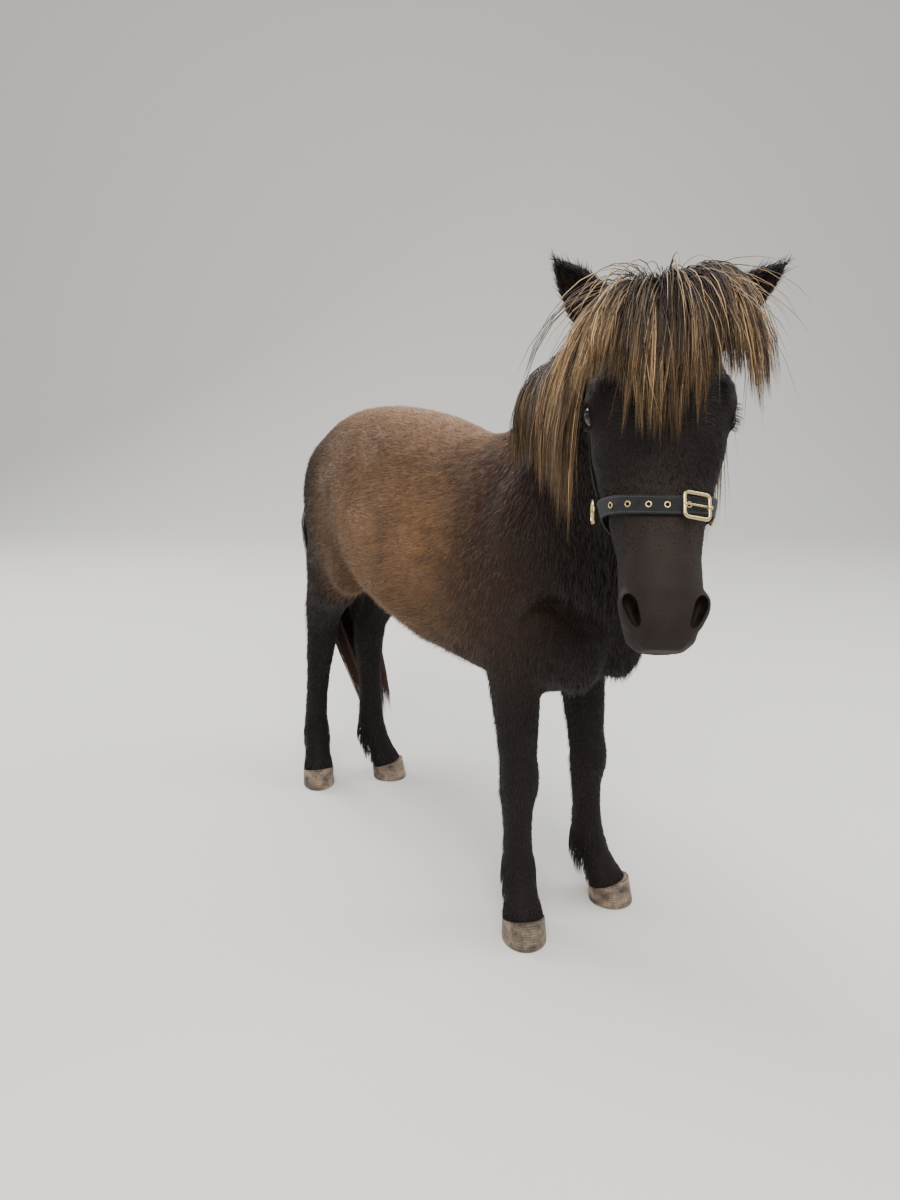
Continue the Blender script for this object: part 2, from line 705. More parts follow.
def ear_rings(side, inner):
    """Sections of one ear, or of the cup inside it. It leans out and opens forwards."""
    forward = heading()
    outward = UP.cross(forward) * side
    base, axis = ear_axis(side)
    opening = forward * 0.86 + outward * 0.50
    opening = (opening - axis * opening.dot(axis)).normalized()
    across = axis.cross(opening)
    table = ((0.16, 0.006, 0.006), (0.22, 0.0165, 0.0125), (0.34, 0.0222, 0.0165), (0.48, 0.0218, 0.0160),
             (0.64, 0.0176, 0.0130), (0.80, 0.0115, 0.0092), (0.93, 0.0045, 0.0040)) if inner else (
                 (-0.14, 0.019, 0.018), (-0.08, 0.021, 0.020), (0.10, 0.0255, 0.020), (0.28, 0.0275, 0.0185),
                 (0.46, 0.0262, 0.0165), (0.64, 0.0215, 0.0135), (0.80, 0.0150, 0.0100),
                 (0.92, 0.0082, 0.0062), (1.0, 0.0022, 0.0022))
    rows = []
    for (a0, h0, d0), (a1, h1, d1) in zip(table, table[1:]):
        for part in (0, 0.25, 0.5, 0.75):
            rows.append((a0 + (a1 - a0) * part, h0 + (h1 - h0) * part, d0 + (d1 - d0) * part))
    rows.append(table[-1])
    for along, half, depth in rows:
        bow = opening * (0.010 * sin(pi * max(along, 0))) - outward * 0.006 * along * along
        centre = base + axis * (EAR_LENGTH * along) - bow
        if inner:
            yield ring(centre + opening * (0.0045 + depth * 0.30), across, opening, half, depth, depth)
        else:
            yield ring(centre, across, opening, half - 0.0006, depth - 0.0006, depth - 0.0006)


def make_ear(side):
    ear = lofted("ear", ear_rings(side, False))
    cut(ear, lofted("cup", ear_rings(side, True)))
    apply(ear, "REMESH", mode="VOXEL", voxel_size=0.0014)
    return soften(ear, 0.5, 3)


def open_eye(skin, side, radius):
    """Cuts the slit between the lids and the hollow for the eyeball."""
    place, turn = head_axes()
    centre = on_side(EYE_PLACE, side)
    slant = turn @ Matrix.Rotation(SLIT_SLANT, 3, "X")
    cut(skin, ball(place @ (centre + on_side(SLIT, side)), SLIT_SIZES, slant, 40))
    cut(skin, ball(place @ centre, (radius + 0.0004,) * 3, turn, 40))


def nostril_tool(side):
    """Where the nostril opens: its middle and the turn of its long axis, which leans outwards above."""
    place = head_frame()
    slant = Matrix.Rotation(-NOSTRIL_LEAN * side, 3, "Z") @ Matrix.Rotation(0.10, 3, "X")
    middle = on_side(NOSTRIL, side) + Vector((MUZZLE_DRIFT, 0, 0))
    return place @ middle, place.to_3x3() @ slant


def open_nostril(skin, side):
    """Cuts the nostril: a tall opening, wide above, that narrows to a crease towards the lip."""
    middle, slant = nostril_tool(side)
    forms = [ball(middle + slant @ Vector((0, 0.0040, 0)), (0.0075, 0.0120, 0.0170), slant, 24),
             ball(middle + slant @ Vector((0, -0.0060, 0)), (0.0060, 0.0150, 0.0150), slant, 24)]
    tool = join(forms, "nostril")
    apply(tool, "REMESH", mode="VOXEL", voxel_size=0.0012)
    soften(tool, 0.5, 8)
    cut(skin, tool)


def build_skin(sizes):
    """One closed skin over the whole body, inside the coat's outline."""
    skin = coarse_body()
    fine = fine_head(sizes)
    tree = surface_of(fine)
    split_faces(skin, lambda m: (head_share(m) > 0.35) & (m[:, 2] > 0.5))
    split_faces(skin, near_details)
    places = points_of(skin)
    blend = head_share(places) * (places[:, 2] > 0.5)
    for _ in range(2):
        for index in np.nonzero(blend > 0.001)[0]:
            near = tree.find_nearest(Vector(places[index]))[0]
            places[index] += (np.array(near) - places[index]) * blend[index]
        move_points(skin, places)
        mark(skin, "face", blend > 0.2)
        soften(skin, 0.4, 2, "face")
        places = points_of(skin)
    skin_tree = surface_of(skin)
    path = mouth_path(skin_tree)
    normals = points_of(skin, "normal")
    gap, along = distance_to_path(places, path)
    fade = smooth_step(0.0, 0.10, along) * smooth_step(1.0, 0.90, along)
    places -= normals * (0.0042 * fade * np.exp(-(gap / 0.0019) ** 2))[:, None]
    eyes = [np.array(eye_place(side)) for side in (LEFT, RIGHT)]
    near_eye = np.min([np.linalg.norm(places - eye, axis=1) for eye in eyes], axis=0)
    depth = coat_depth(places) * smooth_step(0.018, 0.032, near_eye)
    places -= normals * depth[:, None]
    move_points(skin, places)
    for side in (LEFT, RIGHT):
        open_eye(skin, side, sizes.eye_radius)
        open_nostril(skin, side)
    WORK["bare"] = surface_of(skin)
    for side in (LEFT, RIGHT):
        cut(skin, make_ear(side), "UNION")
    places = points_of(skin)
    h = in_head(places)
    rims = (np.abs(h[:, 1] + 0.214) < 0.024) & (h[:, 2] > -0.004) & (np.abs(h[:, 0]) > 0.018)
    rims |= (np.abs(h[:, 1] - 0.085) < 0.02) & (np.abs(np.abs(h[:, 0]) - 0.05) < 0.03) & (h[:, 2] > -0.03)
    mark(skin, "rims", rims)
    soften(skin, 0.5, 2, "rims")
    apply(skin, "TRIANGULATE")
    remove(fine)
    skin.vertex_groups.clear()
    return smooth_all(skin)


# Colours of skin and coat, the same function for both.

def markings(places, colours):
    """The coat's colour at each point: near black in front and below, brown behind, golden on the barrel."""
    q = places - np.array(HOME)
    x, y, z = q.T
    head = head_share(places)
    dark, brown, gold = linear(colours.dark_coat), linear(colours.brown_coat), linear(colours.gold_coat)
    red, grey = linear(colours.flank_coat), linear(colours.muzzle_skin)
    barrel = smooth_step(-0.25, -0.06, y) * (1 - smooth_step(0.17, 0.27, y)) * smooth_step(0.43, 0.50, z)
    lumps = noise(places, 0.055, 1) * 0.6 + noise(places, 0.022, 2) * 0.4
    golden = np.clip(barrel * (0.35 + 1.1 * lumps * smooth_step(0.80, 0.66, z) + 0.25 * lumps), 0, 1)
    shade = smooth_step(-0.44, -0.22, y) * smooth_step(0.36, 0.56, z) * (1 - head)
    shade = np.clip(shade + 0.25 * smooth_step(0.72, 0.82, z) * (1 - head) * smooth_step(-0.4, -0.2, y), 0, 1)
    colour = dark + (brown - dark) * shade[:, None]
    rusty = smooth_step(0.20, 0.30, y) * smooth_step(0.38, 0.5, z) * 0.35
    colour += (red - colour) * rusty[:, None]
    colour += (gold - colour) * golden[:, None]
    haunch = smooth_step(0.15, 0.24, y) * smooth_step(0.83, 0.70, z)
    flank = np.exp(-((y - 0.165) / 0.045) ** 2) * smooth_step(0.78, 0.66, z) * smooth_step(0.40, 0.50, z)
    colour *= (1 - 0.50 * haunch - 0.50 * flank * (1 - haunch))[:, None]
    sheen = smooth_step(0.14, 0.02, np.abs(x)) * smooth_step(0.75, 0.84, z) * smooth_step(-0.34, -0.12, y)
    colour += (gold * 1.6 - colour) * (0.55 * sheen * (1 - head))[:, None]
    h = in_head(places)
    muzzle = smooth_step(-0.135, -0.205, h[:, 1]) * head
    face = smooth_step(-0.05, -0.12, h[:, 1]) * smooth_step(0.0, 0.03, h[:, 2]) * head
    colour += (grey - colour) * (0.55 * face)[:, None]
    colour += (grey * 0.62 - colour) * (0.75 * muzzle)[:, None]
    lips = smooth_step(-0.020, -0.032, h[:, 2]) * smooth_step(-0.19, -0.21, h[:, 1]) * head
    colour *= (1 - 0.72 * lips)[:, None]
    for side in (LEFT, RIGHT):
        middle, slant = nostril_tool(side)
        local = (places - np.array(middle)) @ np.array(slant)
        inside = np.linalg.norm(local / (0.0072, 0.0150, 0.0135), axis=1)
        colour *= (1 - 0.93 * smooth_step(1.15, 0.85, inside) * head)[:, None]
    return colour * (0.86 + 0.28 * noise(places, 0.012, 3))[:, None]


def lie_of_coat(places, normals):
    """The way the hair points at each place, along the skin."""
    y = places[:, 1] - HOME.y
    back = np.array([0, 1.0, -0.30])
    thigh = smooth_step(0.16, 0.30, y)[:, None]
    lie = back * (1 - thigh) + np.array([0, 0.55, -0.9]) * thigh
    flank = smooth_step(-0.05, -0.32, y)[:, None]
    lie = lie * (1 - flank) + np.array([0, 0.25, -1.0]) * flank
    legs = leg_share(places)[:, None]
    lie = lie * (1 - legs) + np.array([0, 0.18, -1.0]) * legs
    turn = np.array(head_turn())
    h = in_head(places)
    head = head_share(places)[:, None]
    # On the face the hair streams from a whorl below the eyes: up above it, down and outwards below it.
    away = np.stack([h[:, 0] * 0.9, h[:, 1] + 0.030, np.zeros(len(h))], 1)
    away[:, 1] = np.where(away[:, 1] > 0, away[:, 1] * 1.3, away[:, 1] * 1.5 - 0.01)
    away = rows_unit(away)
    cheek = smooth_step(0.035, 0.062, np.abs(h[:, 0]))[:, None]
    back_down = rows_unit(np.stack([h[:, 0] * 0, -0.45 + h[:, 1] * 2, np.full(len(h), -0.9)], 1))
    away = away * (1 - cheek) + back_down * cheek
    lie = lie * (1 - head) + (away @ turn.T) * head
    for ear in (LEFT, RIGHT):
        base, axis = ear_axis(ear)
        t = (places - np.array(base)) @ np.array(axis) / EAR_LENGTH
        off = np.linalg.norm(places - np.array(base) - t[:, None] * EAR_LENGTH * np.array(axis), axis=1)
        on_ear = (smooth_step(0.02, 0.2, t) * (off < 0.036) * (t < 1.1))[:, None]
        lie = lie * (1 - on_ear) + np.array(axis) * on_ear
    lie = lie - normals * np.sum(lie * normals, axis=1, keepdims=True)
    lie = rows_unit(lie)
    side = np.cross(normals, lie)
    swirl = (noise(places, 0.035, 5) - 0.5) * 0.9 + (noise(places, 0.010, 6) - 0.5) * 0.7
    return rows_unit(lie + side * swirl[:, None])


# Hair and tufts as solid mesh.

def tapered(paths, widths, thicks, refs):
    """Solid three-sided hairs that end in a point, along paths of the shape (hairs, points, 3).

    Gives all corner points, of the shape (hairs, corners, 3), and the triangles of one hair.
    """
    steps = paths.shape[1]
    along = np.empty_like(paths)
    along[:, 1:-1] = paths[:, 2:] - paths[:, :-2]
    along[:, 0] = paths[:, 1] - paths[:, 0]
    along[:, -1] = paths[:, -1] - paths[:, -2]
    along = rows_unit(along)
    side = rows_unit(np.cross(along, refs))
    rise = np.cross(side, along)
    rows = []
    for step in range(steps - 1):
        for turn in (90, 210, 330):
            a = radians(turn)
            rows.append(paths[:, step] + side[:, step] * (widths[:, step] / 2 * cos(a))[:, None]
                        + rise[:, step] * (thicks[:, step] / 2 * sin(a))[:, None])
    rows.append(paths[:, -1])
    corners = np.stack(rows, axis=1)
    faces = [(0, 1, 2)]
    for step in range(steps - 2):
        a = step * 3
        for k in range(3):
            m = (k + 1) % 3
            faces += [(a + k, a + 3 + k, a + 3 + m), (a + k, a + 3 + m, a + m)]
    a, tip = (steps - 2) * 3, (steps - 1) * 3
    faces += [(a + k, tip, a + (k + 1) % 3) for k in range(3)]
    return corners, np.array(faces)


def hair_mesh(name, corners, faces, tints, roots_uv, material):
    """One object of many hairs, with their tints and the patch of each on the skin's unwrap."""
    count, each = corners.shape[0], corners.shape[1]
    triangles = (faces[None] + np.arange(count)[:, None, None] * each).reshape(-1, 3)
    data = bpy.data.meshes.new(name)
    data.vertices.add(count * each)
    data.vertices.foreach_set("co", np.ascontiguousarray(corners, np.float32).ravel())
    data.loops.add(triangles.size)
    data.loops.foreach_set("vertex_index", np.ascontiguousarray(triangles, np.int32).ravel())
    data.polygons.add(len(triangles))
    data.polygons.foreach_set("loop_start", np.arange(0, triangles.size, 3, dtype=np.int32))
    data.polygons.foreach_set("use_smooth", [True] * len(triangles))
    data.update(calc_edges=True)
    paint_points(data, tints.reshape(-1, 3))
    steps = (each - 1) // 3
    half = 0.0013
    spots = [((k % 3 - 1) * half, (k // 3) / max(steps, 1) * 2 * half - half) for k in range(each - 1)]
    patch = np.array(spots + [(0, half)])
    uv = roots_uv[:, None, :] + patch[None]
    bake = data.uv_layers.new(name="OFBake")
    uv = uv.reshape(-1, 2)[triangles.ravel()]
    bake.data.foreach_set("uv", np.ascontiguousarray(uv, np.float32).ravel())
    data.materials.append(material)
    return added(name, data)


class Hide:
    """The finished skin as arrays, to root hair on."""

    def __init__(self, thing):
        data = thing.data
        data.calc_loop_triangles()
        count = len(data.loop_triangles)
        self.corners = np.empty(count * 3, np.int32)
        data.loop_triangles.foreach_get("vertices", self.corners)
        self.corners = self.corners.reshape(-1, 3)
        loops = np.empty(count * 3, np.int32)
        data.loop_triangles.foreach_get("loops", loops)
        self.places, self.normals = points_of(thing), points_of(thing, "normal")
        uv = np.empty(len(data.loops) * 2, np.float32)
        data.uv_layers["OFBake"].data.foreach_get("uv", uv)
        self.uv = uv.reshape(-1, 2)[loops].reshape(-1, 3, 2)
        a, b, c = (self.places[self.corners[:, k]] for k in range(3))
        self.areas = np.linalg.norm(np.cross(b - a, c - a), axis=1) / 2
        self.middles = (a + b + c) / 3
        self.tree = surface_of(thing)

    def roots(self, wanted, spacing, seed):
        """Random places on the wanted faces: points, normals and their spots on the unwrap.

        wanted gives a weight from 0 to 1 for each point.
        """
        chance = np.random.default_rng(seed)
        weight = wanted(self.middles)
        share = self.areas * weight
        count = int(share.sum() / spacing ** 2)
        picks = chance.choice(len(share), size=count, p=share / share.sum())
        return self.spots(picks, chance)

    def spots(self, picks, chance):
        u, v = chance.random(len(picks)), chance.random(len(picks))
        over = u + v > 1
        u[over], v[over] = 1 - u[over], 1 - v[over]
        w = np.stack([1 - u - v, u, v], 1)
        tri = self.corners[picks]
        places = np.einsum("nk,nkd->nd", w, self.places[tri])
        normals = rows_unit(np.einsum("nk,nkd->nd", w, self.normals[tri]))
        uv = np.einsum("nk,nkd->nd", w, self.uv[picks])
        return places, normals, uv

    def unwrap_at(self, places):
        """The spots on the unwrap of the skin nearest to some points."""
        spots = np.empty((len(places), 2))
        for index, place in enumerate(places):
            face = self.tree.find_nearest(Vector(place))[2]
            spots[index] = self.uv[face].mean(axis=0)
        return spots


def pieces_of(name, corners, faces, tints, uv, order, material):
    """Shares hairs out, in the given order, over as few objects as the limit on triangles allows."""
    parts = max(1, ceil(len(order) / (PIECE_LIMIT // len(faces))))
    made = []
    for part, rows in enumerate(np.array_split(order, parts)):
        label = name if parts == 1 else f"{name}_{part + 1}"
        piece = hair_mesh(label, corners[rows], faces, tints[rows], uv[rows], material)
        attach(piece, "root")
        made.append(piece)
    return made


def plant(name, roots, length, width, lift, colours, seed, droop=None):
    """Tufts of fur at the given roots, in one or more pieces of limited size.

    Short fur is straight. Where droop is given, the tufts are longer ones that bend down.
    """
    places, normals, uv = roots
    chance = np.random.default_rng(seed)
    count = len(places)
    lie = lie_of_coat(places, normals)
    lie = rows_unit(lie + np.cross(normals, lie) * chance.normal(0, 0.14, count)[:, None])
    long = length * chance.uniform(0.70, 1.25, count)
    rise = np.radians(lift * chance.uniform(0.45, 1.55, count))
    start = places - normals * 0.0005
    wide = width * chance.uniform(0.75, 1.3, count)
    ahead = lie * np.cos(rise)[:, None] + normals * np.sin(rise)[:, None]
    if droop is None:
        paths = np.stack([start, start + ahead * long[:, None]], 1)
        widths, thicks, brights = wide[:, None], wide[:, None] * 0.6, (0.72, 1.32)
    else:
        middle = start + ahead * (long * 0.5)[:, None]
        ahead = rows_unit(lie + normals * np.sin(rise * 0.2)[:, None] + DOWN * droop[:, None])
        paths = np.stack([start, middle, middle + ahead * (long * 0.5)[:, None]], 1)
        widths, brights = np.stack([wide * 0.9, wide * 0.8], 1), (0.60, 1.0, 1.30)
        thicks = widths * 0.55
    corners, faces = tapered(paths, widths, thicks, normals[:, None, :])
    base = markings(places, colours)
    tone = np.exp(chance.normal(0, 0.20, count))[:, None]
    warm = linear(colours.gold_coat) * 1.25
    glint = (chance.random(count) < 0.14)[:, None] * smooth_step(0.014, 0.040, base.mean(axis=1))[:, None]
    body = base * tone * (1 - 0.5 * glint) + warm * 0.5 * glint
    sections = len(brights) - 1
    tints = np.stack([body * bright for bright in np.repeat(brights, [3] * sections + [1])], axis=1)
    order = np.argsort(places[:, 1], kind="stable")
    return pieces_of(name, corners, faces, tints, uv, order, materials(colours)["fur"])


def strands(name, hairs, size, root_tone, tip_tone, colours, seed):
    """Long hairs along given paths, dark at the root and lighter towards the tip.

    Each hair is a row of its path, the way out of the surface, where along it the colour turns and
    how light its tip gets, from 0 to 1.
    """
    chance = np.random.default_rng(seed)
    paths, refs, turn_at, golds = (np.array(part) for part in zip(*hairs))
    count, steps = paths.shape[0], paths.shape[1]
    share = np.linspace(0, 1, steps)
    thick = size * chance.uniform(0.75, 1.3, count)[:, None] * (1 - 0.55 * share[:-1] ** 2)[None]
    corners, faces = tapered(paths, thick, thick, refs[:, None, :])
    dark, light = linear(root_tone), linear(tip_tone)
    where = turn_at[:, None] + chance.normal(0, 0.07, count)[:, None]
    blend = smooth_step(-0.20, 0.26, share[None] - where) * golds[:, None]
    blend = np.repeat(blend, 3, axis=1)[:, :steps * 3 - 2]
    tone = np.exp(chance.normal(0, 0.26, count))[:, None, None]
    tints = (dark + (light - dark) * blend[..., None]) * tone
    uv = hide_of().unwrap_at(paths[:, 0])
    return pieces_of(name, corners, faces, tints, uv, np.arange(count), materials(colours)["hair"])


def clear_of(tree, point, gap, limit):
    """A point, moved out to the gap where it lies in the surface or less than the gap from it.

    A point further than limit from the surface, such as one behind another part, stays.
    """
    near, normal, _, _ = tree.find_nearest(point)
    if (point - near).dot(normal) < gap and (point - near).length < limit:
        return near + normal * gap
    return point


def bow(start, rise, over, tip, steps, tree, clearance=HAIR_CLEARANCE):
    """A bow from root to tip as a Bezier curve, kept clear of what lies below it."""
    knots = (start, start + rise, over, tip)
    path = [start - rise.normalized() * HAIR_CLEARANCE]
    for index in range(1, steps + 1):
        t = index / steps
        point = (knots[0] * (1 - t) ** 3 + knots[1] * 3 * t * (1 - t) ** 2
                 + knots[2] * 3 * t * t * (1 - t) + knots[3] * t ** 3)
        path.append(clear_of(tree, point, clearance, HAIR_REACH))
    return path


def forelock_paths(sizes, tree, chance):
    """Hairs that rise between the ears and fall over the forehead in a ragged fan of pointed locks.

    Every third lock is a short dark one of the layer below.
    """
    place, turn = head_axes()
    forward = heading()
    left = UP.cross(forward)
    centre = place @ Vector((0, 0.100, 0.046))
    hairs = []
    for clump in range(sizes.forelock_locks):
        under = clump % 3 == 0
        layer = (clump * 0.382) % 1.0 * 0.7 + (0.3 if under else 0.0)
        across = ((clump * 0.618) % 1.0) * 2 - 1
        fan = radians(76 - 14 * layer)
        angle = fan * across + chance.gauss(0, 0.10)
        aim = forward * cos(angle) + left * sin(angle)
        wide = forward * -sin(angle) + left * cos(angle)
        rise = (0.050 - 0.026 * layer) * chance.uniform(0.85, 1.10)
        front, beside = 0.092 - 0.020 * layer, 0.145 - 0.044 * layer
        low_front, low_beside = 0.128 + 0.010 * layer, 0.100 + 0.020 * layer
        far = (front + (beside - front) * abs(sin(angle))) * chance.uniform(0.84, 1.06)
        far *= 0.98 - 0.16 * across
        cut_short = chance.uniform(0.50, 0.75) if under else chance.triangular(0.55, 1.14, 0.90)
        drop = (low_front + (low_beside - low_front) * abs(across)) * cut_short * (1 - 0.12 * across)
        tip = centre + aim * far - UP * drop + wide * chance.gauss(0, 0.007)
        curl = wide * chance.gauss(0, 0.006)
        gold = chance.uniform(0.45, 1.15) * (0.70 + 0.30 * abs(across))
        if under or chance.random() < 0.22:
            gold *= 0.2
        at = 0.78 - 0.22 * abs(across) + chance.gauss(0, 0.06)
        for _ in range(int(sizes.hairs_per_lock * (0.5 if under else chance.uniform(0.5, 1.2)))):
            spread, depth = chance.gauss(0, 1), chance.gauss(0, 1)
            root_local = Vector((across * 0.026 + chance.uniform(-0.007, 0.007),
                                 0.114 - 0.036 * layer + chance.uniform(-0.010, 0.010), 0.3))
            root = tree.ray_cast(place @ root_local, turn @ Vector((0, 0, -1)))[0]
            if root is None:
                continue
            high = rise * chance.uniform(0.70, 1.22)
            over = centre + aim * far * (0.98 - 0.16 * abs(across)) + UP * high * 1.1
            over += wide * spread * 0.0042 + aim * depth * 0.003
            lift = UP * high * 1.25 + aim * 0.010 + wide * chance.gauss(0, 0.006)
            short = chance.uniform(0.0, 0.30) ** 1.3
            end = tip + wide * spread * 0.0013 + aim * depth * 0.0010
            end = end + UP * drop * short - aim * far * 0.12 * short
            at_eye = place.inverted() @ end
            near = abs(abs(at_eye.x + 0.006) - 0.066) / 0.024
            low = 0.006 + 0.012 * chance.random() - 0.050 * max(0.0, near - 0.6)
            if near < 1 and at_eye.z < 0.11 and at_eye.y < low:
                end += turn @ Vector((0, low - at_eye.y, 0))
            if chance.random() < 0.07:
                end += jitter(chance, 0.013)
                over += jitter(chance, 0.008)
            clear = 0.0025 + chance.uniform(0, 0.003)
            path = bow(root, lift, over, end, sizes.hair_steps, tree, clear)
            last = len(path) - 1
            path = [p + curl * sin(pi * 2 * i / last) * (i / last) for i, p in enumerate(path)]
            hairs.append((path, (aim + UP * 0.3).normalized(), at, lit_tip(gold, chance)))
    for _ in range(sizes.flyaways):
        across = chance.uniform(-1, 1)
        angle = radians(80) * across
        aim = forward * cos(angle) + left * sin(angle)
        root = tree.ray_cast(place @ Vector((across * 0.024, chance.uniform(0.08, 0.11), 0.3)),
                             turn @ Vector((0, 0, -1)))[0]
        if root is None:
            continue
        high = chance.uniform(0.055, 0.072)
        end = centre + aim * chance.uniform(0.06, 0.15) + UP * chance.uniform(-0.05, 0.012)
        end += jitter(chance, 0.010)
        over = (root + end) / 2 + UP * high * 0.8 + aim * 0.03
        path = bow(root, UP * high, over, end, sizes.hair_steps, tree)
        hairs.append((path, (aim + UP * 0.3).normalized(), 0.5, chance.uniform(0.2, 0.9)))
    return hairs


def mane_paths(sizes, tree, chance):
    """Hairs from the crest of the neck that fall on both sides, brown above and golden at the tips."""
    hairs = []
    for side in (LEFT, RIGHT):
        for clump in range(sizes.mane_locks):
            layer = (clump * 0.382) % 1.0
            part = (clump + 0.5) / sizes.mane_locks
            along = 0.27 + 0.55 * part
            point, forward = neck_place(along)
            left = UP.cross(forward)
            out = left * side
            wide = (0.096 + 0.014 * layer) * (1 - 0.10 * along) * chance.uniform(0.88, 1.08)
            long = (0.085 + 0.245 * along ** 1.5) * chance.triangular(0.58, 1.10, 0.92)
            rise = (0.016 + 0.020 * layer * (0.4 + along)) * (1 - 0.5 * smooth_bump(part))
            shift = forward * chance.gauss(0.010, 0.009)
            gold = chance.uniform(0.25, 0.95) * (0.55 + 0.45 * part)
            for _ in range(int(sizes.hairs_per_lock * chance.uniform(0.7, 1.3))):
                offset = chance.uniform(-0.016, 0.016)
                top = point + UP * 1.3 + left * (0.012 - 0.010 * layer) * side + forward * offset
                hit, _, _, _ = tree.ray_cast(top, -UP)
                if hit is None:
                    continue
                spread = chance.gauss(0, 1)
                lift = out * 0.030 + UP * rise * chance.uniform(0.7, 1.1)
                over = hit + out * wide * chance.uniform(0.90, 1.06) + UP * (0.004 + 0.014 * layer) + shift
                end = Vector((point.x, point.y, hit.z)) + out * wide + forward * 0.014
                end = end - UP * long + forward * spread * 0.004 + out * chance.gauss(0, 0.002)
                end += UP * long * chance.uniform(0.0, 0.30) ** 1.4 + shift
                if chance.random() < 0.05:
                    end += jitter(chance, 0.012)
                clear = HAIR_CLEARANCE + chance.uniform(0, 0.005)
                path = bow(hit, lift, over, end, sizes.hair_steps, tree, clear)
                hairs.append((path, out, 0.56 + 0.10 * layer, lit_tip(gold, chance)))
    return hairs


def lit_tip(gold, chance):
    """How light one hair's tip gets in a lock with the given share of gold."""
    return min(1.0, gold * (chance.uniform(0.7, 1.25) if chance.random() < 0.6 else 0.25))


def jitter(chance, size):
    """A random step for a hair that strays from its lock."""
    return Vector([chance.gauss(0, size) for _ in range(3)])


def smooth_bump(share):
    """0 in the middle of a run and 1 at its far end."""
    return max(0.0, (share - 0.6) / 0.4) ** 2


def tail_paths(sizes, tree, chance):
    """Long hairs round the dock that hang to the fetlocks."""
    hairs = []
    steps = sizes.hair_steps + 3
    for clump in range(sizes.tail_locks):
        start = 0.010 + 0.22 * ((clump * 0.382) % 1.0)
        around = 2 * pi * ((clump * 0.618) % 1.0)
        radial = Vector((cos(around), sin(around), 0))
        bulk = 0.15 + 0.85 * ((clump * 0.618 + 0.4) % 1.0)
        end = chance.uniform(0.80, 1.0)
        for _ in range(sizes.hairs_per_lock):
            wobble = Vector((chance.gauss(0, 1), chance.gauss(0, 1), 0))
            path = []
            stop = end * chance.uniform(0.86, 1.0)
            for step in range(steps + 1):
                share = step / steps
                along = start + (stop - start) * share
                swell = 0.042 * bulk * sin(pi * share * 0.85)
                spread = 0.004 + 0.020 * min(1.0, share * 4) * bulk + swell
                spread *= 1 - 0.25 * share
                point = tail_point(along) + Vector((radial.x * spread * 1.35, radial.y * spread * 0.70, 0))
                point += wobble * (0.0045 * min(1.0, share * 5) * (1 - 0.45 * share))
                path.append(clear_of(tree, point, 0.006, 0.03) if step > 1 else point)
            hairs.append((path, (radial + Vector((0, 0.25, 0))).normalized(), 0.74, 0.8))
    return hairs


def feather_paths(leg, sizes, tree, chance):
    """Hair behind the fetlock that hangs to the heel, and a fringe over the coronet."""
    place = foot_frame(leg)
    turn = place.to_3x3()
    hairs = []
    for index in range(sizes.feather_hairs):
        fringe = index % 3 == 0
        angle = radians(chance.uniform(-180, 180) if fringe else chance.gauss(0, 42))
        height = chance.uniform(0.044, 0.064) if fringe else chance.uniform(0.078, 0.132)
        aim = turn @ Vector((sin(angle), -cos(angle), 0))
        middle = 0.022 if height < 0.07 else 0.006
        start = place @ Vector((0, middle, height))
        hit, normal, _, _ = tree.ray_cast(start, aim)
        if hit is None:
            continue
        long = 0.020 if fringe else 0.034 + 0.014 * cos(angle)
        long *= chance.uniform(0.7, 1.15)
        side = normal.cross(UP)
        path = [hit - normal * 0.002]
        way = (normal * 0.55 - UP).normalized()
        for step in range(1, 6):
            way = (way - UP * 0.35 - normal * 0.06).normalized()
            point = path[-1] + way * (long / 5) + side * chance.gauss(0, 0.0005)
            point = clear_of(tree, point, 0.0010, 0.02)
            point.z = max(point.z, 0.003)
            path.append(point)
        hairs.append((path, normal, 0.9, 0.6))
    return hairs


# Materials. Each reads the object's own coordinates, its tint or its own map.

MULTIPLY = {"data_type": "RGBA", "blend_type": "MULTIPLY"}


def node(material, kind, inputs=None, stops=(), **settings):
    """Adds one shader node with its settings and links.

    inputs gives a socket, by name or number, a value, an sRGB hex text or another node's output.
    stops are the places and colours of a colour ramp.
    """
    made = material.node_tree.nodes.new(kind)
    for key, value in settings.items():
        setattr(made, key, value)
    for socket, value in (inputs or {}).items():
        if isinstance(value, bpy.types.NodeSocket):
            material.node_tree.links.new(value, made.inputs[socket])
        else:
            made.inputs[socket].default_value = (*linear(value), 1) if isinstance(value, str) else value
    if stops:
        elements = made.color_ramp.elements
        while len(elements) < len(stops):
            elements.new(0.5)
        for element, (place, colour) in zip(elements, stops):
            element.position, element.color = place, (*linear(colour), 1)
    return made


def material_for(name, roughness, metallic=0.0, coat=0.0, sheen=0.0, specular=0.5):
    """A new material and its shader."""
    material = bpy.data.materials.new(name)
    material.use_nodes = True
    shader = material.node_tree.nodes["Principled BSDF"]
    for socket, value in (("Roughness", roughness), ("Metallic", metallic), ("Coat Weight", coat),
                          ("Coat Roughness", 0.03), ("Sheen Weight", sheen), ("Sheen Roughness", 0.45),
                          ("Specular IOR Level", specular)):
        shader.inputs[socket].default_value = value
    return material, shader


def dress(material, shader, colour, height=None, strength=0.0, distance=0.0):
    """Gives the shader its colour and, where there is a height, the relief of the surface."""
    links = material.node_tree.links
    links.new(colour, shader.inputs["Base Color"])
    if height is not None:
        relief = node(material, "ShaderNodeBump",
                      {"Height": height, "Strength": strength, "Distance": distance})
        links.new(relief.outputs["Normal"], shader.inputs["Normal"])
    return material


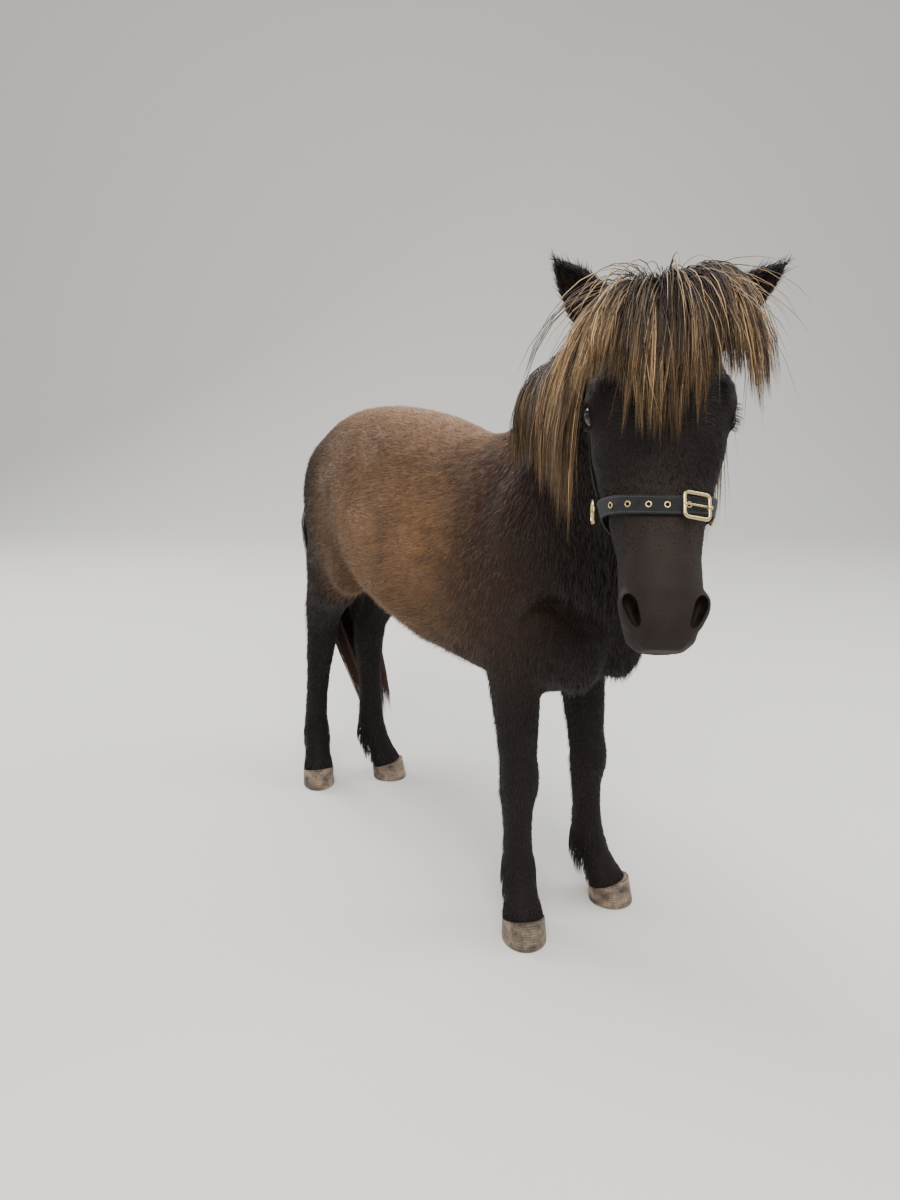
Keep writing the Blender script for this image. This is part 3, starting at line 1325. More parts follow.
def here(material, stretch=(1, 1, 1)):
    """The object's own coordinates in metres, stretched along each axis."""
    own = node(material, "ShaderNodeTexCoord")
    made = node(material, "ShaderNodeMapping", {"Vector": own.outputs["Object"], "Scale": stretch})
    return made.outputs["Vector"]


def tinted(material, grain, stops, share):
    """The tint of each point under a fine grain: gives the colour and the grain's height."""
    tint = node(material, "ShaderNodeVertexColor", layer_name="Tint")
    height = node(material, "ShaderNodeTexNoise", grain).outputs["Fac"]
    shade = node(material, "ShaderNodeValToRGB", {"Fac": height}, stops)
    both = {0: share, 6: tint.outputs["Color"], 7: shade.outputs["Color"]}
    return node(material, "ShaderNodeMix", both, **MULTIPLY).outputs[2], height


def skin_finish():
    """Short fur that lies flat: the markings with streaks and their relief.

    The streaks are about 0.7 mm wide and 3 mm long, coarser than real hairs, which no view would show.
    """
    material, shader = material_for("short_fur", 0.65, specular=0.15)
    grain = {"Vector": here(material, (1, 1, 0.22)), "Scale": 1500, "Detail": 4}
    colour, height = tinted(material, grain, ((0.25, "#8a8a8a"), (0.75, "#ffffff")), 0.8)
    return dress(material, shader, colour, height, 0.35, 0.0004)


def fur_finish(name, roughness=0.52, sheen=0.03, specular=0.28):
    """Hair shafts with the tint of each, and a change of tone every 2.4 mm or so along them."""
    material, shader = material_for(name, roughness, sheen=sheen, specular=specular)
    grain = {"Vector": here(material), "Scale": 420}
    colour, _ = tinted(material, grain, ((0.3, "#b4b4b4"), (0.7, "#ffffff")), 0.7)
    return dress(material, shader, colour)


def eye_finish():
    """A dark brown iris with an oval pupil behind a wet, glossy front. The tint carries the rings."""
    material, shader = material_for("eye", 0.24, coat=0.5, specular=0.4)
    grain = {"Vector": here(material), "Scale": 700}
    colour, _ = tinted(material, grain, ((0.3, "#9a9a9a"), (0.7, "#ffffff")), 0.5)
    return dress(material, shader, colour)


def horn_finish(colours):
    """Hoof horn: pale with dark weathered patches, upright grain and growth rings.

    The patches are about 30 mm wide, the grain 1.6 mm and the rings some 4 mm apart.
    """
    material, shader = material_for("hoof_horn", 0.48, specular=0.4)
    grain = node(material, "ShaderNodeTexNoise",
                 {"Vector": here(material, (1, 1, 0.08)), "Scale": 620, "Detail": 4}).outputs["Fac"]
    patch = node(material, "ShaderNodeTexNoise",
                 {"Vector": here(material, (1, 1, 1.6)), "Scale": 34, "Detail": 3}).outputs["Fac"]
    rings = node(material, "ShaderNodeTexWave",
                 {"Vector": here(material), "Scale": 75, "Distortion": 1.4, "Detail": 2},
                 bands_direction="Z").outputs["Fac"]
    tan = node(material, "ShaderNodeValToRGB", {"Fac": patch},
               ((0.30, colours.horn_dark), (0.48, "#75675a"), (0.80, colours.horn_pale)))
    streaks = node(material, "ShaderNodeValToRGB", {"Fac": grain}, ((0.3, "#7d7468"), (0.7, "#ffffff")))
    bands = node(material, "ShaderNodeValToRGB", {"Fac": rings}, ((0.2, "#a89c8c"), (0.8, "#ffffff")))
    colour = node(material, "ShaderNodeMix", {0: 0.75, 6: tan.outputs[0], 7: streaks.outputs[0]}, **MULTIPLY)
    colour = node(material, "ShaderNodeMix", {0: 0.45, 6: colour.outputs[2], 7: bands.outputs[0]}, **MULTIPLY)
    height = node(material, "ShaderNodeMath", {0: rings, 1: grain}, operation="ADD")
    return dress(material, shader, colour.outputs[2], height.outputs[0], 0.35, 0.0008)


def web_finish(colours):
    """Woven nylon webbing, ribbed across, with two rows of stitches.

    One step of its map is 100 mm: the ribs lie 1.6 mm apart, and a stitch is 2.2 mm long every 3.2 mm.
    """
    material, shader = material_for("webbing", 0.66, sheen=0.03, specular=0.22)
    own = node(material, "ShaderNodeUVMap", uv_map="Weave").outputs["UV"]
    parts = node(material, "ShaderNodeSeparateXYZ", {"Vector": own})
    ribs = node(material, "ShaderNodeTexWave", {"Vector": own, "Scale": 20.0, "Distortion": 0.25},
                bands_direction="X")
    picks = node(material, "ShaderNodeTexWave", {"Vector": own, "Scale": 30.0}, bands_direction="Y")
    weave = node(material, "ShaderNodeMath", {0: ribs.outputs["Fac"], 1: picks.outputs["Fac"], 2: 0.15},
                 operation="MULTIPLY_ADD").outputs[0]
    worn = node(material, "ShaderNodeTexNoise", {"Vector": here(material), "Scale": 130, "Detail": 5})
    # Stitch rows lie 2.2 mm in from each edge: the map's Y runs across the webbing.
    centred = node(material, "ShaderNodeMath", {0: parts.outputs["Y"]}, operation="ABSOLUTE")
    row = node(material, "ShaderNodeMath", {0: centred.outputs[0], 1: 0.078, 2: 0.0055}, operation="COMPARE")
    pitch = node(material, "ShaderNodeMath", {0: parts.outputs["X"], 1: 0.016}, operation="PINGPONG")
    dash = node(material, "ShaderNodeMath", {0: pitch.outputs[0], 1: 0.005}, operation="GREATER_THAN")
    stitch = node(material, "ShaderNodeMath", {0: row.outputs[0], 1: dash.outputs[0]},
                  operation="MULTIPLY").outputs[0]
    cloth = node(material, "ShaderNodeValToRGB", {"Fac": worn.outputs["Fac"]},
                 ((0.35, colours.web_black), (0.75, "#2b2c2e")))
    lines = node(material, "ShaderNodeValToRGB", {"Fac": weave}, ((0.1, "#5c5c5c"), (0.8, "#ffffff")))
    colour = node(material, "ShaderNodeMix", {0: 0.7, 6: cloth.outputs[0], 7: lines.outputs[0]}, **MULTIPLY)
    colour = node(material, "ShaderNodeMix", {0: stitch, 6: colour.outputs[2], 7: "#34363a"},
                  data_type="RGBA")
    height = node(material, "ShaderNodeMath", {0: weave, 1: stitch}, operation="ADD")
    return dress(material, shader, colour.outputs[2], height.outputs[0], 0.7, 0.0005)


def brass_finish(colours):
    """Pale cast brass with fine scratches and duller, darker spots."""
    material, shader = material_for("brass", 0.26, metallic=1.0)
    marks = node(material, "ShaderNodeTexNoise",
                 {"Vector": here(material, (1, 1, 6)), "Scale": 500, "Detail": 5}).outputs["Fac"]
    tone = node(material, "ShaderNodeValToRGB", {"Fac": marks},
                ((0.30, "#8d7c52"), (0.60, colours.brass), (0.85, "#e9dfc0")))
    dull = node(material, "ShaderNodeValToRGB", {"Fac": marks}, ((0.3, "#a0a0a0"), (0.75, "#7c7c7c")))
    material.node_tree.links.new(dull.outputs["Color"], shader.inputs["Roughness"])
    return dress(material, shader, tone.outputs["Color"], marks, 0.12, 0.0003)


def hole_finish():
    """The dark inside of an eyelet."""
    material, shader = material_for("eyelet_hole", 0.9, specular=0.1)
    speck = node(material, "ShaderNodeTexNoise", {"Vector": here(material), "Scale": 900})
    tone = node(material, "ShaderNodeValToRGB", {"Fac": speck.outputs["Fac"]},
                ((0.3, "#060505"), (0.7, "#15110f")))
    return dress(material, shader, tone.outputs["Color"])


def paint_points(data, tints):
    """Gives a mesh its tint, one colour a point."""
    layer = data.color_attributes.new("Tint", "BYTE_COLOR", "POINT")
    rgba = np.ones((len(tints), 4), np.float32)
    rgba[:, :3] = np.clip(tints, 0, 1)
    layer.data.foreach_set("color", rgba.ravel())


def finish(thing, material, slot_name, *nodes):
    """The last step for a piece: its material, its body, its slot and the solids it stands for."""
    if material is not None:
        thing.data.materials.clear()
        thing.data.materials.append(material)
    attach(thing, "root")
    if nodes:
        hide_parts(*nodes)
    return thing


def smooth_all(thing):
    thing.data.polygons.foreach_set("use_smooth", [True] * len(thing.data.polygons))
    return thing


# Eyes and hooves.

def build_eye(side, sizes, colours):
    """A glossy eyeball with the rings of the iris and an oval pupil in its tint."""
    turn = head_turn()
    centre = eye_place(side)
    gaze = (turn @ Vector((side, -0.06, 0.75))).normalized()
    tilt = gaze.to_track_quat("Z", "Y").to_matrix()
    eye = ball(centre, (sizes.eye_radius,) * 3, tilt, 96)
    eye.name = "eyeball_" + SIDES[side]
    places = points_of(eye) - np.array(centre)
    out = turn @ Vector((0, 0, 1))
    long = np.array((out - gaze * out.dot(gaze)).normalized())
    short = np.cross(np.array(gaze), long)
    depth = places @ np.array(gaze)
    away = np.linalg.norm(places - depth[:, None] * np.array(gaze), axis=1) / sizes.eye_radius
    away[depth < 0] = 1.5
    oval = np.hypot((places @ long) / 0.0062, (places @ short) / 0.0036)
    iris, deep = linear(colours.iris), linear("#0b0807")
    tints = np.tile(iris, (len(places), 1))
    tints *= (0.75 + 0.5 * noise(places + 5, 0.0012, 4))[:, None]
    tints += (deep - tints) * smooth_step(1.15, 0.95, oval)[:, None]
    tints += (linear("#15100e") - tints) * smooth_step(0.62, 0.74, away)[:, None]
    tints += (linear("#1d1512") - tints) * smooth_step(0.80, 0.90, away)[:, None]
    paint_points(eye.data, tints)
    smooth_all(eye)
    return finish(eye, eye_finish(), "eye", "eye_" + SIDES[side])


def build_lashes(side, sizes, colours):
    """Upper and lower lashes along the rims of the lids."""
    place, turn = head_axes()
    chance = random.Random(11 + side)
    centre = on_side(EYE_PLACE, side)
    hairs = []
    for index in range(70):
        upper = index % 10 < 8
        a = radians(chance.uniform(20, 160) if upper else chance.uniform(205, 335))
        rim = Matrix.Rotation(SLIT_SLANT, 3, "X") @ Vector((0, -0.0146 * cos(a), 0.0102 * sin(a)))
        point = on_side(SLIT, side) + rim
        flat = Vector((0, point.y, point.z)).length
        point.x = side * sqrt(max((sizes.eye_radius + 0.0020) ** 2 - flat * flat, 1e-8))
        root = place @ (centre + point)
        # Upwards on the face is out of the forehead for a lid, so the lashes point sideways and that way.
        out = turn @ Vector((side * 1.0, -0.25 + rim.y * 12, (0.55 if upper else -0.35) + rim.z * 8))
        long = chance.uniform(0.008, 0.0125) if upper else chance.uniform(0.004, 0.007)
        out = out.normalized()
        down = turn @ Vector((0, -0.5, 0)) - UP * 0.3
        path = [root + out * (long * t) + down * (long * 0.35 * t * t) for t in (0, 0.35, 0.7, 1.0)]
        hairs.append((path, turn @ Vector((0, 1, 0)), 1.5, 0.0))
    tone = "#120d0b"
    return strands("lashes_" + SIDES[side], hairs, 0.0005, tone, tone, colours, 5)


def build_hoof(leg, material):
    """The horn of one foot with growth rings, a rounded ground edge and a sloping hairy top."""
    place = foot_frame(leg)
    hind = leg.name.startswith("hind")
    width = 0.0345 if hind else 0.0365
    side, back = place.col[0].to_3d(), -place.col[1].to_3d()
    rings = []
    steps = 44
    for step in range(steps + 1):
        z = HOOF_HEIGHT * (step / steps)
        shift = 0.0330 - 0.0085 * z / HOOF_HEIGHT
        grow = 1.00 - 0.09 * z / HOOF_HEIGHT
        grow *= 1 - 0.035 * max(0.0, 1 - z / 0.0022) ** 2
        growth = 0.0060 * sin(z * 1150 + 0.6 * sin(z * 400))
        grow += growth * (1 - z / HOOF_HEIGHT) * min(1.0, z / 0.003)
        centre = place @ Vector((0, shift, z))
        rings.append(ring(centre, side, back, width * grow, 0.034 * grow, 0.041 * grow, 2.3, 2.0, 64))
    hoof = lofted("horn_" + leg.name, rings)
    slope = place @ Matrix.Translation((0, 0.026, 0.032)) @ Matrix.Rotation(radians(19), 4, "X")
    deselect()
    bpy.ops.mesh.primitive_cube_add(size=0.4)
    top = bpy.context.active_object
    top.data.transform(slope @ Matrix.Translation((0, 0, 0.2 + 0.0015)))
    cut(hoof, top)
    smooth_all(hoof)
    only(hoof)
    bpy.ops.object.shade_smooth_by_angle(angle=radians(40))
    return finish(hoof, material, "hoof_horn", "hoof_" + leg.name)


# The halter.

def smooth_path(points, rounds, closed=False):
    for _ in range(rounds):
        count = len(points)
        soft = []
        for index, point in enumerate(points):
            if not closed and index in (0, count - 1):
                soft.append(point)
                continue
            soft.append((points[index - 1] + point * 2 + points[(index + 1) % count]) / 4)
        points = soft
    return points


def settle(points, outs, width, tree, closed):
    """Turns a strap's stations to the skin below and lifts each just clear of it across its width."""
    outs = [(tree.find_nearest(point)[1] + out * 0.5).normalized() for point, out in zip(points, outs)]
    outs = [out.normalized() for out in smooth_path(outs, 3, closed)]
    for _ in range(4):
        placed = []
        for index, (point, out) in enumerate(zip(points, outs)):
            before, after = neighbours(points, index, closed)
            side = (after - before).cross(out).normalized()
            need = 0
            for share in (-0.5, -0.25, 0, 0.25, 0.5):
                for near_point in (point, (point + before) / 2, (point + after) / 2):
                    sample = near_point + side * width * share
                    near, normal, _, _ = tree.find_nearest(sample)
                    need = max(need, STRAP_CLEARANCE - (sample - near).dot(normal))
            placed.append(point + out * need)
        points = placed
    return points, outs


def reach(tree, origin, aim, offsets):
    """How far out the skin lies from a point, found from outside by several rays side by side."""
    far, best = 0.25, 0
    for offset in offsets:
        hit, _, _, distance = tree.ray_cast(origin + offset + aim * far, -aim)
        if hit:
            best = max(best, far - distance)
    return best


def noseband_path(sizes, tree):
    """The loop of the noseband round the face, a little above the nostrils."""
    place, turn = head_axes()
    points, outs = [], []
    count = 64
    for step in range(count):
        angle = 2 * pi * step / count
        drop = NOSEBAND_Y + 0.010 * cos(angle) ** 2
        origin = place @ Vector((0, drop, BAND_AXIS))
        aim = turn @ Vector((cos(angle), 0, sin(angle)))
        spread = [turn @ Vector((0, dy, 0)) for dy in (-0.012, -0.006, 0, 0.006, 0.012)]
        points.append(origin + aim * (reach(tree, origin, aim, spread) + STRAP_CLEARANCE))
        outs.append(aim)
    return settle(smooth_path(points, 4, True), outs, sizes.web_width, tree, True)


def cheek_path(sizes, tree):
    """From one side ring over the poll, behind the ears, to the other side ring."""
    place, turn = head_axes()
    half = []
    for low, high in zip(CHEEK_PATH, CHEEK_PATH[1:]):
        for part in (0, 0.25, 0.5, 0.75):
            half.append(tuple(a + (b - a) * part for a, b in zip(low, high)))
    half.append(CHEEK_PATH[-1])
    whole = [(LEFT,) + s for s in half] + [(RIGHT,) + s for s in reversed(half[:-1])]
    points, outs = [], []
    for side, y, z, angle in whole:
        lean = radians(angle)
        origin = place @ Vector((0, y, z))
        aim = turn @ Vector((cos(lean) * side, 0.95 * sin(lean), 0.31 * sin(lean)))
        cross = turn @ Vector((0, 0.7 * (1 - sin(lean)), 0.7 + 0.3 * sin(lean)))
        spread = [cross * d for d in (-0.010, -0.005, 0, 0.005, 0.010)]
        points.append(origin + aim * (reach(tree, origin, aim, spread) + STRAP_CLEARANCE))
        outs.append(aim)
    return settle(smooth_path(points, 8), outs, sizes.strap_width, tree, False)


def webbing(name, points, outs, width, thick, closed):
    """Flat webbing along a path, with rounded edges. Its own map gives the weave its size."""
    mesh = bmesh.new()
    weave = mesh.loops.layers.uv.new("Weave")
    count = len(points)
    half, bevel = width / 2, thick * 0.42
    profile = []
    for x in np.linspace(-half + bevel, half - bevel, 13):
        profile.append((float(x), thick))
    for a in (60, 20, -20, -60):
        profile.append((half - bevel + bevel * cos(radians(a)),
                        thick / 2 + thick / 2 * sin(radians(a))))
    for x in np.linspace(half - bevel, -half + bevel, 7):
        profile.append((float(x), 0.0))
    for a in (240, 200, 160, 120):
        profile.append((-half + bevel + bevel * cos(radians(a)),
                        thick / 2 + thick / 2 * sin(radians(a))))
    rows, runs = [], [0.0]
    for index, (point, out) in enumerate(zip(points, outs)):
        before, after = neighbours(points, index, closed)
        along = (after - before).normalized()
        side = along.cross(out).normalized()
        rise = side.cross(along).normalized()
        rows.append([mesh.verts.new(point + side * x + rise * z) for x, z in profile])
        runs.append(runs[-1] + (points[(index + 1) % count] - point).length)
    for number, face in enumerate(quads(mesh, rows, closed)):
        index, step = divmod(number, len(profile))
        near, far = profile[step][0], profile[(step + 1) % len(profile)][0]
        run = (runs[index], runs[index], runs[index + 1], runs[index + 1])
        for loop, u, v in zip(face.loops, run, (near, far, far, near)):
            loop[weave].uv = (u * 10, v * 10)
    return smooth_all(new_object(name, mesh))


def tube(name, path, radius, hint, sides=16, closed=True, flat=1.0):
    """A round bar along a path."""
    mesh = bmesh.new()
    rows = []
    for index, point in enumerate(path):
        before, after = neighbours(path, index, closed)
        along = (after - before).normalized()
        side = (hint - along * hint.dot(along)).normalized()
        size = radius[index] if isinstance(radius, (list, tuple)) else radius
        rows.append([mesh.verts.new(p) for p in
                     ring(point, side, side.cross(along), size * flat, size, size, count=sides)])
    quads(mesh, rows, closed)
    return smooth_all(new_object(name, mesh))


def place_on_band(points, outs, share):
    """A spot on the closed noseband at a share of its loop, and the way out of the face there."""
    count = len(points)
    at = (share % 1.0) * count
    index, part = int(at), at - int(at)
    a, b = points[index % count], points[(index + 1) % count]
    out = (outs[index % count] * (1 - part) + outs[(index + 1) % count] * part).normalized()
    return a + (b - a) * part, out


def eyelet_rim(point, out):
    """The rim of one eyelet, turned so that it faces out."""
    deselect()
    bpy.ops.mesh.primitive_torus_add(major_radius=EYELET_RADIUS, minor_radius=EYELET_WIRE,
                                     major_segments=32, minor_segments=10, location=point,
                                     rotation=out.to_track_quat("Z", "Y").to_euler())
    bpy.ops.object.transform_apply(location=True, rotation=True, scale=True)
    return bpy.context.active_object


def build_eyelets(points, outs, sizes, material):
    """Brass eyelets along the front of the noseband, each with the dark hole it lines."""
    rims, holes = [], []
    for degrees in (88, 104, 122, 140, 69):
        spot, out = place_on_band(points, outs, degrees / 360)
        spot = spot + out * (sizes.web_thick + 0.0002)
        rims.append(eyelet_rim(spot, out))
        deselect()
        bpy.ops.mesh.primitive_cylinder_add(vertices=24, radius=0.0022, depth=0.0008, location=spot,
                                            rotation=out.to_track_quat("Z", "Y").to_euler())
        holes.append(bpy.context.active_object)
    eyelets = smooth_all(join(rims, "eyelets"))
    finish(eyelets, material, "brass")
    finish(join(holes, "eyelet_holes"), hole_finish(), "webbing")


def buckle_spot(tree):
    place, turn = head_axes()
    aim = turn @ Vector((cos(BUCKLE_ANGLE), 0, sin(BUCKLE_ANGLE)))
    origin = place @ Vector((0, NOSEBAND_Y, BAND_AXIS))
    distance = tree.ray_cast(origin, aim)[3]
    down = turn @ Vector((0, -1, 0))
    return origin + aim * (distance + 0.0074), aim, down, down.cross(aim).normalized()


def build_buckle(tree, material):
    """A rounded rectangular frame, heavier on the side of the bar, with its prong and a keeper."""
    centre, aim, down, across = buckle_spot(tree)
    half_across, half_down, corner = 0.0155, 0.0130, 0.0048
    path = []
    for quarter, (sx, sy) in enumerate(((1, 1), (-1, 1), (-1, -1), (1, -1))):
        for step in range(9):
            turn_by = pi / 2 * (quarter + step / 8)
            x = sx * (half_across - corner) + corner * cos(turn_by)
            y = sy * (half_down - corner) + corner * sin(turn_by)
            path.append(centre + across * x + down * y)
    rim = tube("buckle_frame", path, 0.0021, aim, 16, True, 0.80)
    prong = tube("prong", [centre - across * half_across * 0.98 + aim * 0.0010, centre + aim * 0.0016,
                           centre + across * (half_across - 0.001) + aim * 0.0017,
                           centre + across * (half_across + 0.0016) + aim * 0.0010],
                 [0.0013, 0.0012, 0.0011, 0.0009], down, 12, False)
    loop_path = []
    for step in range(24):
        a = 2 * pi * step / 24
        around = across * (0.0026 * cos(a)) + aim * (0.0026 * sin(a))
        loop_path.append(centre - across * half_across + around)
    wrap = tube("prong_loop", loop_path, 0.0011, down, 10, True, 1.6)
    buckle = join([rim, prong, wrap], "buckle_brass")
    return finish(smooth_all(buckle), material, "brass", "buckle")


def build_ring(side, tree, material):
    """A wire loop on the cheek where the noseband and the cheek strap meet."""
    place, turn = head_axes()
    aim = turn @ Vector((side, 0, 0))
    origin = place @ Vector((0, -0.092, -0.042))
    spread = [turn @ Vector((0, d, e)) for d in (-0.01, 0, 0.01) for e in (-0.01, 0, 0.01)]
    centre = origin + aim * (reach(tree, origin, aim, spread) + 0.0098)
    down, out = turn @ Vector((0, -1, 0)), turn @ Vector((0, 0, 1))
    path = [centre + down * (RING_RADIUS * cos(a)) + out * (RING_RADIUS * sin(a))
            for a in (2 * pi * step / 40 for step in range(40))]
    loop = tube("cheek_ring_" + SIDES[side], path, 0.0018, aim, 14)
    return finish(loop, material, "brass", "ring_" + SIDES[side])


# Floor, light and camera.

def build_stage():
    """A pale floor, soft studio light and the camera at the photograph's angle."""
    away = Vector((sin(CAMERA_YAW), cos(CAMERA_YAW), 0))
    across = UP.cross(away)
    bend = [(radians(a), 2.4) for a in range(0, 91, 6)]
    profile = [(-9.0, 0.0)] + [(3.4 + sin(a) * r, r - cos(a) * r) for a, r in bend] + [(5.8, 9.0)]
    corners = [HOME + away * d + across * s + UP * (z - 0.0002) for s in (9.0, -9.0) for d, z in profile]
    count = len(profile)
    faces = [(i, i + count, i + count + 1, i + 1) for i in range(count - 1)]
    data = bpy.data.meshes.new("floor")
    data.from_pydata([tuple(p) for p in corners], [], faces)
    floor = smooth_all(added("floor", data))
    material, shader = material_for("floor", 0.85, specular=0.2)
    shader.inputs["Base Color"].default_value = (*linear("#cfccc6"), 1)
    floor.data.materials.append(material)
    world = bpy.data.worlds.new("studio")
    bpy.context.scene.world = world
    world.use_nodes = True
    back = world.node_tree.nodes["Background"]
    back.inputs["Color"].default_value = (*linear("#e3e7ec"), 1)
    back.inputs["Strength"].default_value = 0.95
    for place, power, size, tint in LAMPS:
        light = bpy.data.lights.new("softbox", "AREA")
        light.shape, light.size, light.energy = "SQUARE", size, power
        light.color = linear(tint)
        lamp = added("softbox", light)
        lamp.location = place
        aim = Vector((0, 0, 0.55)) - Vector(place)
        lamp.rotation_euler = aim.to_track_quat("-Z", "Y").to_euler()
    lens = bpy.data.cameras.new("camera")
    lens.sensor_fit, lens.sensor_height = "VERTICAL", SENSOR_HEIGHT
    lens.lens = SENSOR_HEIGHT * FOCAL_PIXELS / PICTURE_HEIGHT
    lens.dof.use_dof = False
    camera = added("camera", lens)
    camera.location = HOME + CAMERA_PLACE
    aim = away * cos(CAMERA_PITCH) - UP * sin(CAMERA_PITCH)
    camera.rotation_euler = aim.to_track_quat("-Z", "Y").to_euler()
    bpy.context.scene.camera = camera


# The coat, region by region.

def near_eyes(places):
    gaps = [np.linalg.norm(places - np.array(eye_place(side)), axis=1) for side in (LEFT, RIGHT)]
    return np.min(gaps, axis=0)


def off_straps(places, lines):
    """0 under the webbing of the halter, 1 clear of it."""
    clear = np.ones(len(places))
    for points, half in lines:
        spots = np.array(points)
        for start in range(0, len(places), 20000):
            part = places[start:start + 20000]
            gap = np.sqrt(((part[:, None] - spots[None]) ** 2).sum(axis=2)).min(axis=1)
            clear[start:start + 20000] *= gap > half
    return clear


def on_ears(places):
    """Whether each point stands off the body itself, as those of the ears do."""
    found = np.zeros(len(places), bool)
    for index in np.nonzero(places[:, 2] > 0.86)[0]:
        found[index] = WORK["bare"].find_nearest(Vector(places[index]))[3] > 0.0025
    return found


def head_weight(lines):
    def weigh(places):
        h = in_head(places)
        head = (head_share(places) > 0.5) | on_ears(places)
        weight = head * (near_eyes(places) > 0.0215) * 1.0
        weight *= smooth_step(-0.232, -0.205, h[:, 1])
        nostril = np.abs(np.abs(h[:, 0]) - 0.032) < 0.013
        nostril &= (np.abs(h[:, 1] + 0.212) < 0.020) & (h[:, 2] > -0.006)
        return weight * ~nostril * off_straps(places, lines)
    return weigh


def neck_weight(places):
    q = places - np.array(HOME)
    front = (q[:, 1] < -0.19 - 0.9 * (0.82 - q[:, 2])) & (q[:, 2] > 0.55)
    return (head_share(places) <= 0.5) * front * ~on_ears(places) * 1.0


def leg_weight(places):
    return (leg_share(places) > 0.5) * (head_share(places) <= 0.5) * (places[:, 2] > 0.030) * 1.0


def barrel_weight(places):
    rest = (head_share(places) <= 0.5) * (leg_share(places) <= 0.5)
    return rest * (1.0 - neck_weight(places))


def hide_of():
    if "hide" not in WORK:
        WORK["hide"] = Hide(bpy.data.objects["skin"])
    return WORK["hide"]


def materials(colours):
    if "materials" not in WORK:
        WORK["materials"] = {
            "skin": skin_finish(), "fur": fur_finish("fur"), "hair": fur_finish("long_hair", 0.45, 0.0, 0.35),
            "horn": horn_finish(colours), "web": web_finish(colours), "brass": brass_finish(colours),
        }
    return WORK["materials"]


def halter_lines(sizes):
    """The paths of the noseband and of the headstall over the fine head, worked out once."""
    if "lines" not in WORK:
        fine = fine_head(sizes)
        tree = surface_of(fine)
        remove(fine)
        WORK["lines"] = (noseband_path(sizes, tree), cheek_path(sizes, tree), tree)
    return WORK["lines"]


def strap_zones(sizes):
    nose, cheek, _ = halter_lines(sizes)
    return [(nose[0], sizes.web_width / 2 + 0.001), (cheek[0], sizes.strap_width / 2 + 0.001)]


# What a user can change.

def colour_property(name, text, note):
    channels = [int(text[at:at + 2], 16) / 255 for at in (1, 3, 5)]
    return bpy.props.FloatVectorProperty(name=name, description=note, subtype="COLOR_GAMMA", size=3,
                                         default=channels, min=0, max=1)


def length_property(name, metres, note):
    return bpy.props.FloatProperty(name=name, description=note, default=metres, min=0, precision=4,
                                   unit="LENGTH", subtype="DISTANCE")


def count_property(name, count, note, least=1):
    return bpy.props.IntProperty(name=name, description=note, default=count, min=least)


class PonySizes(bpy.types.PropertyGroup):
    eye_radius: length_property("Eye radius", 0.0165, "Radius of each eyeball")
    head_fur: length_property("Head fur", 0.0080, "Length of the fur on the head")
    body_fur: length_property("Body fur", 0.0170, "Length of the fur on the barrel and quarters")
    leg_fur: length_property("Leg fur", 0.0120, "Length of the fur on the legs")
    head_spacing: length_property("Head fur spacing", 0.00215, "Distance between tufts on the head")
    body_spacing: length_property("Body fur spacing", 0.00300, "Distance between tufts on the body")
    leg_spacing: length_property("Leg fur spacing", 0.00290, "Distance between tufts on the legs")
    web_width: length_property("Noseband width", 0.020, "Width of the webbing round the nose")
    web_thick: length_property("Webbing thickness", 0.0024, "Thickness of the webbing")
    strap_width: length_property("Headstall width", 0.020, "Width of the strap over the poll")
    hair_size: length_property("Hair thickness", 0.0011, "Thickness of one long hair at its root")
    forelock_locks: count_property("Forelock locks", 165, "Pointed locks in the forelock")
    flyaways: count_property("Flyaway hairs", 110, "Single hairs that stand out over the poll", 0)
    mane_locks: count_property("Mane locks", 70, "Pointed locks on each side of the mane")
    tail_locks: count_property("Tail locks", 90, "Pointed locks in the tail")
    hairs_per_lock: count_property("Hairs per lock", 20, "Hairs in each pointed lock")
    hair_steps: count_property("Hair steps", 8, "Straight parts in each hair", 3)
    feather_hairs: count_property("Feather hairs", 620, "Hairs behind each fetlock")


class PonyColours(bpy.types.PropertyGroup):
    dark_coat: colour_property("Dark coat", "#1e1512", "Legs, neck and head")
    brown_coat: colour_property("Brown coat", "#443127", "Back, shoulder and quarters")
    gold_coat: colour_property("Golden coat", "#8a6644", "Golden hairs on the barrel")
    flank_coat: colour_property("Flank coat", "#452e22", "Rusty brown on the quarters")
    muzzle_skin: colour_property("Muzzle", "#3d322d", "Grey brown of the face and the muzzle")
    hair_root: colour_property("Hair root", "#241a15", "Long hair near its root")
    hair_tip: colour_property("Forelock tip", "#c9a578", "Golden tips of the forelock")
    mane_tip: colour_property("Mane tip", "#ad8a62", "Golden tips of the mane")
    tail_tip: colour_property("Tail tip", "#5b3322", "Reddish tips of the tail")
    iris: colour_property("Iris", "#2b1a12", "The eye's iris")
    horn_pale: colour_property("Pale horn", "#b9a189", "Bare horn of the hooves")
    horn_dark: colour_property("Dark horn", "#3b3129", "Dark patches of the hooves")
    web_black: colour_property("Webbing", "#191a1c", "The halter's webbing")
    brass: colour_property("Brass", "#d8c490", "Buckle, rings and eyelets")


class PonyStep:
    """What the operators share: the sizes and the colours of the scene."""
    bl_options = {"REGISTER", "UNDO"}

    def execute(self, context):
        self.build(context.scene.pony_sizes, context.scene.pony_colours)
        return {"FINISHED"}


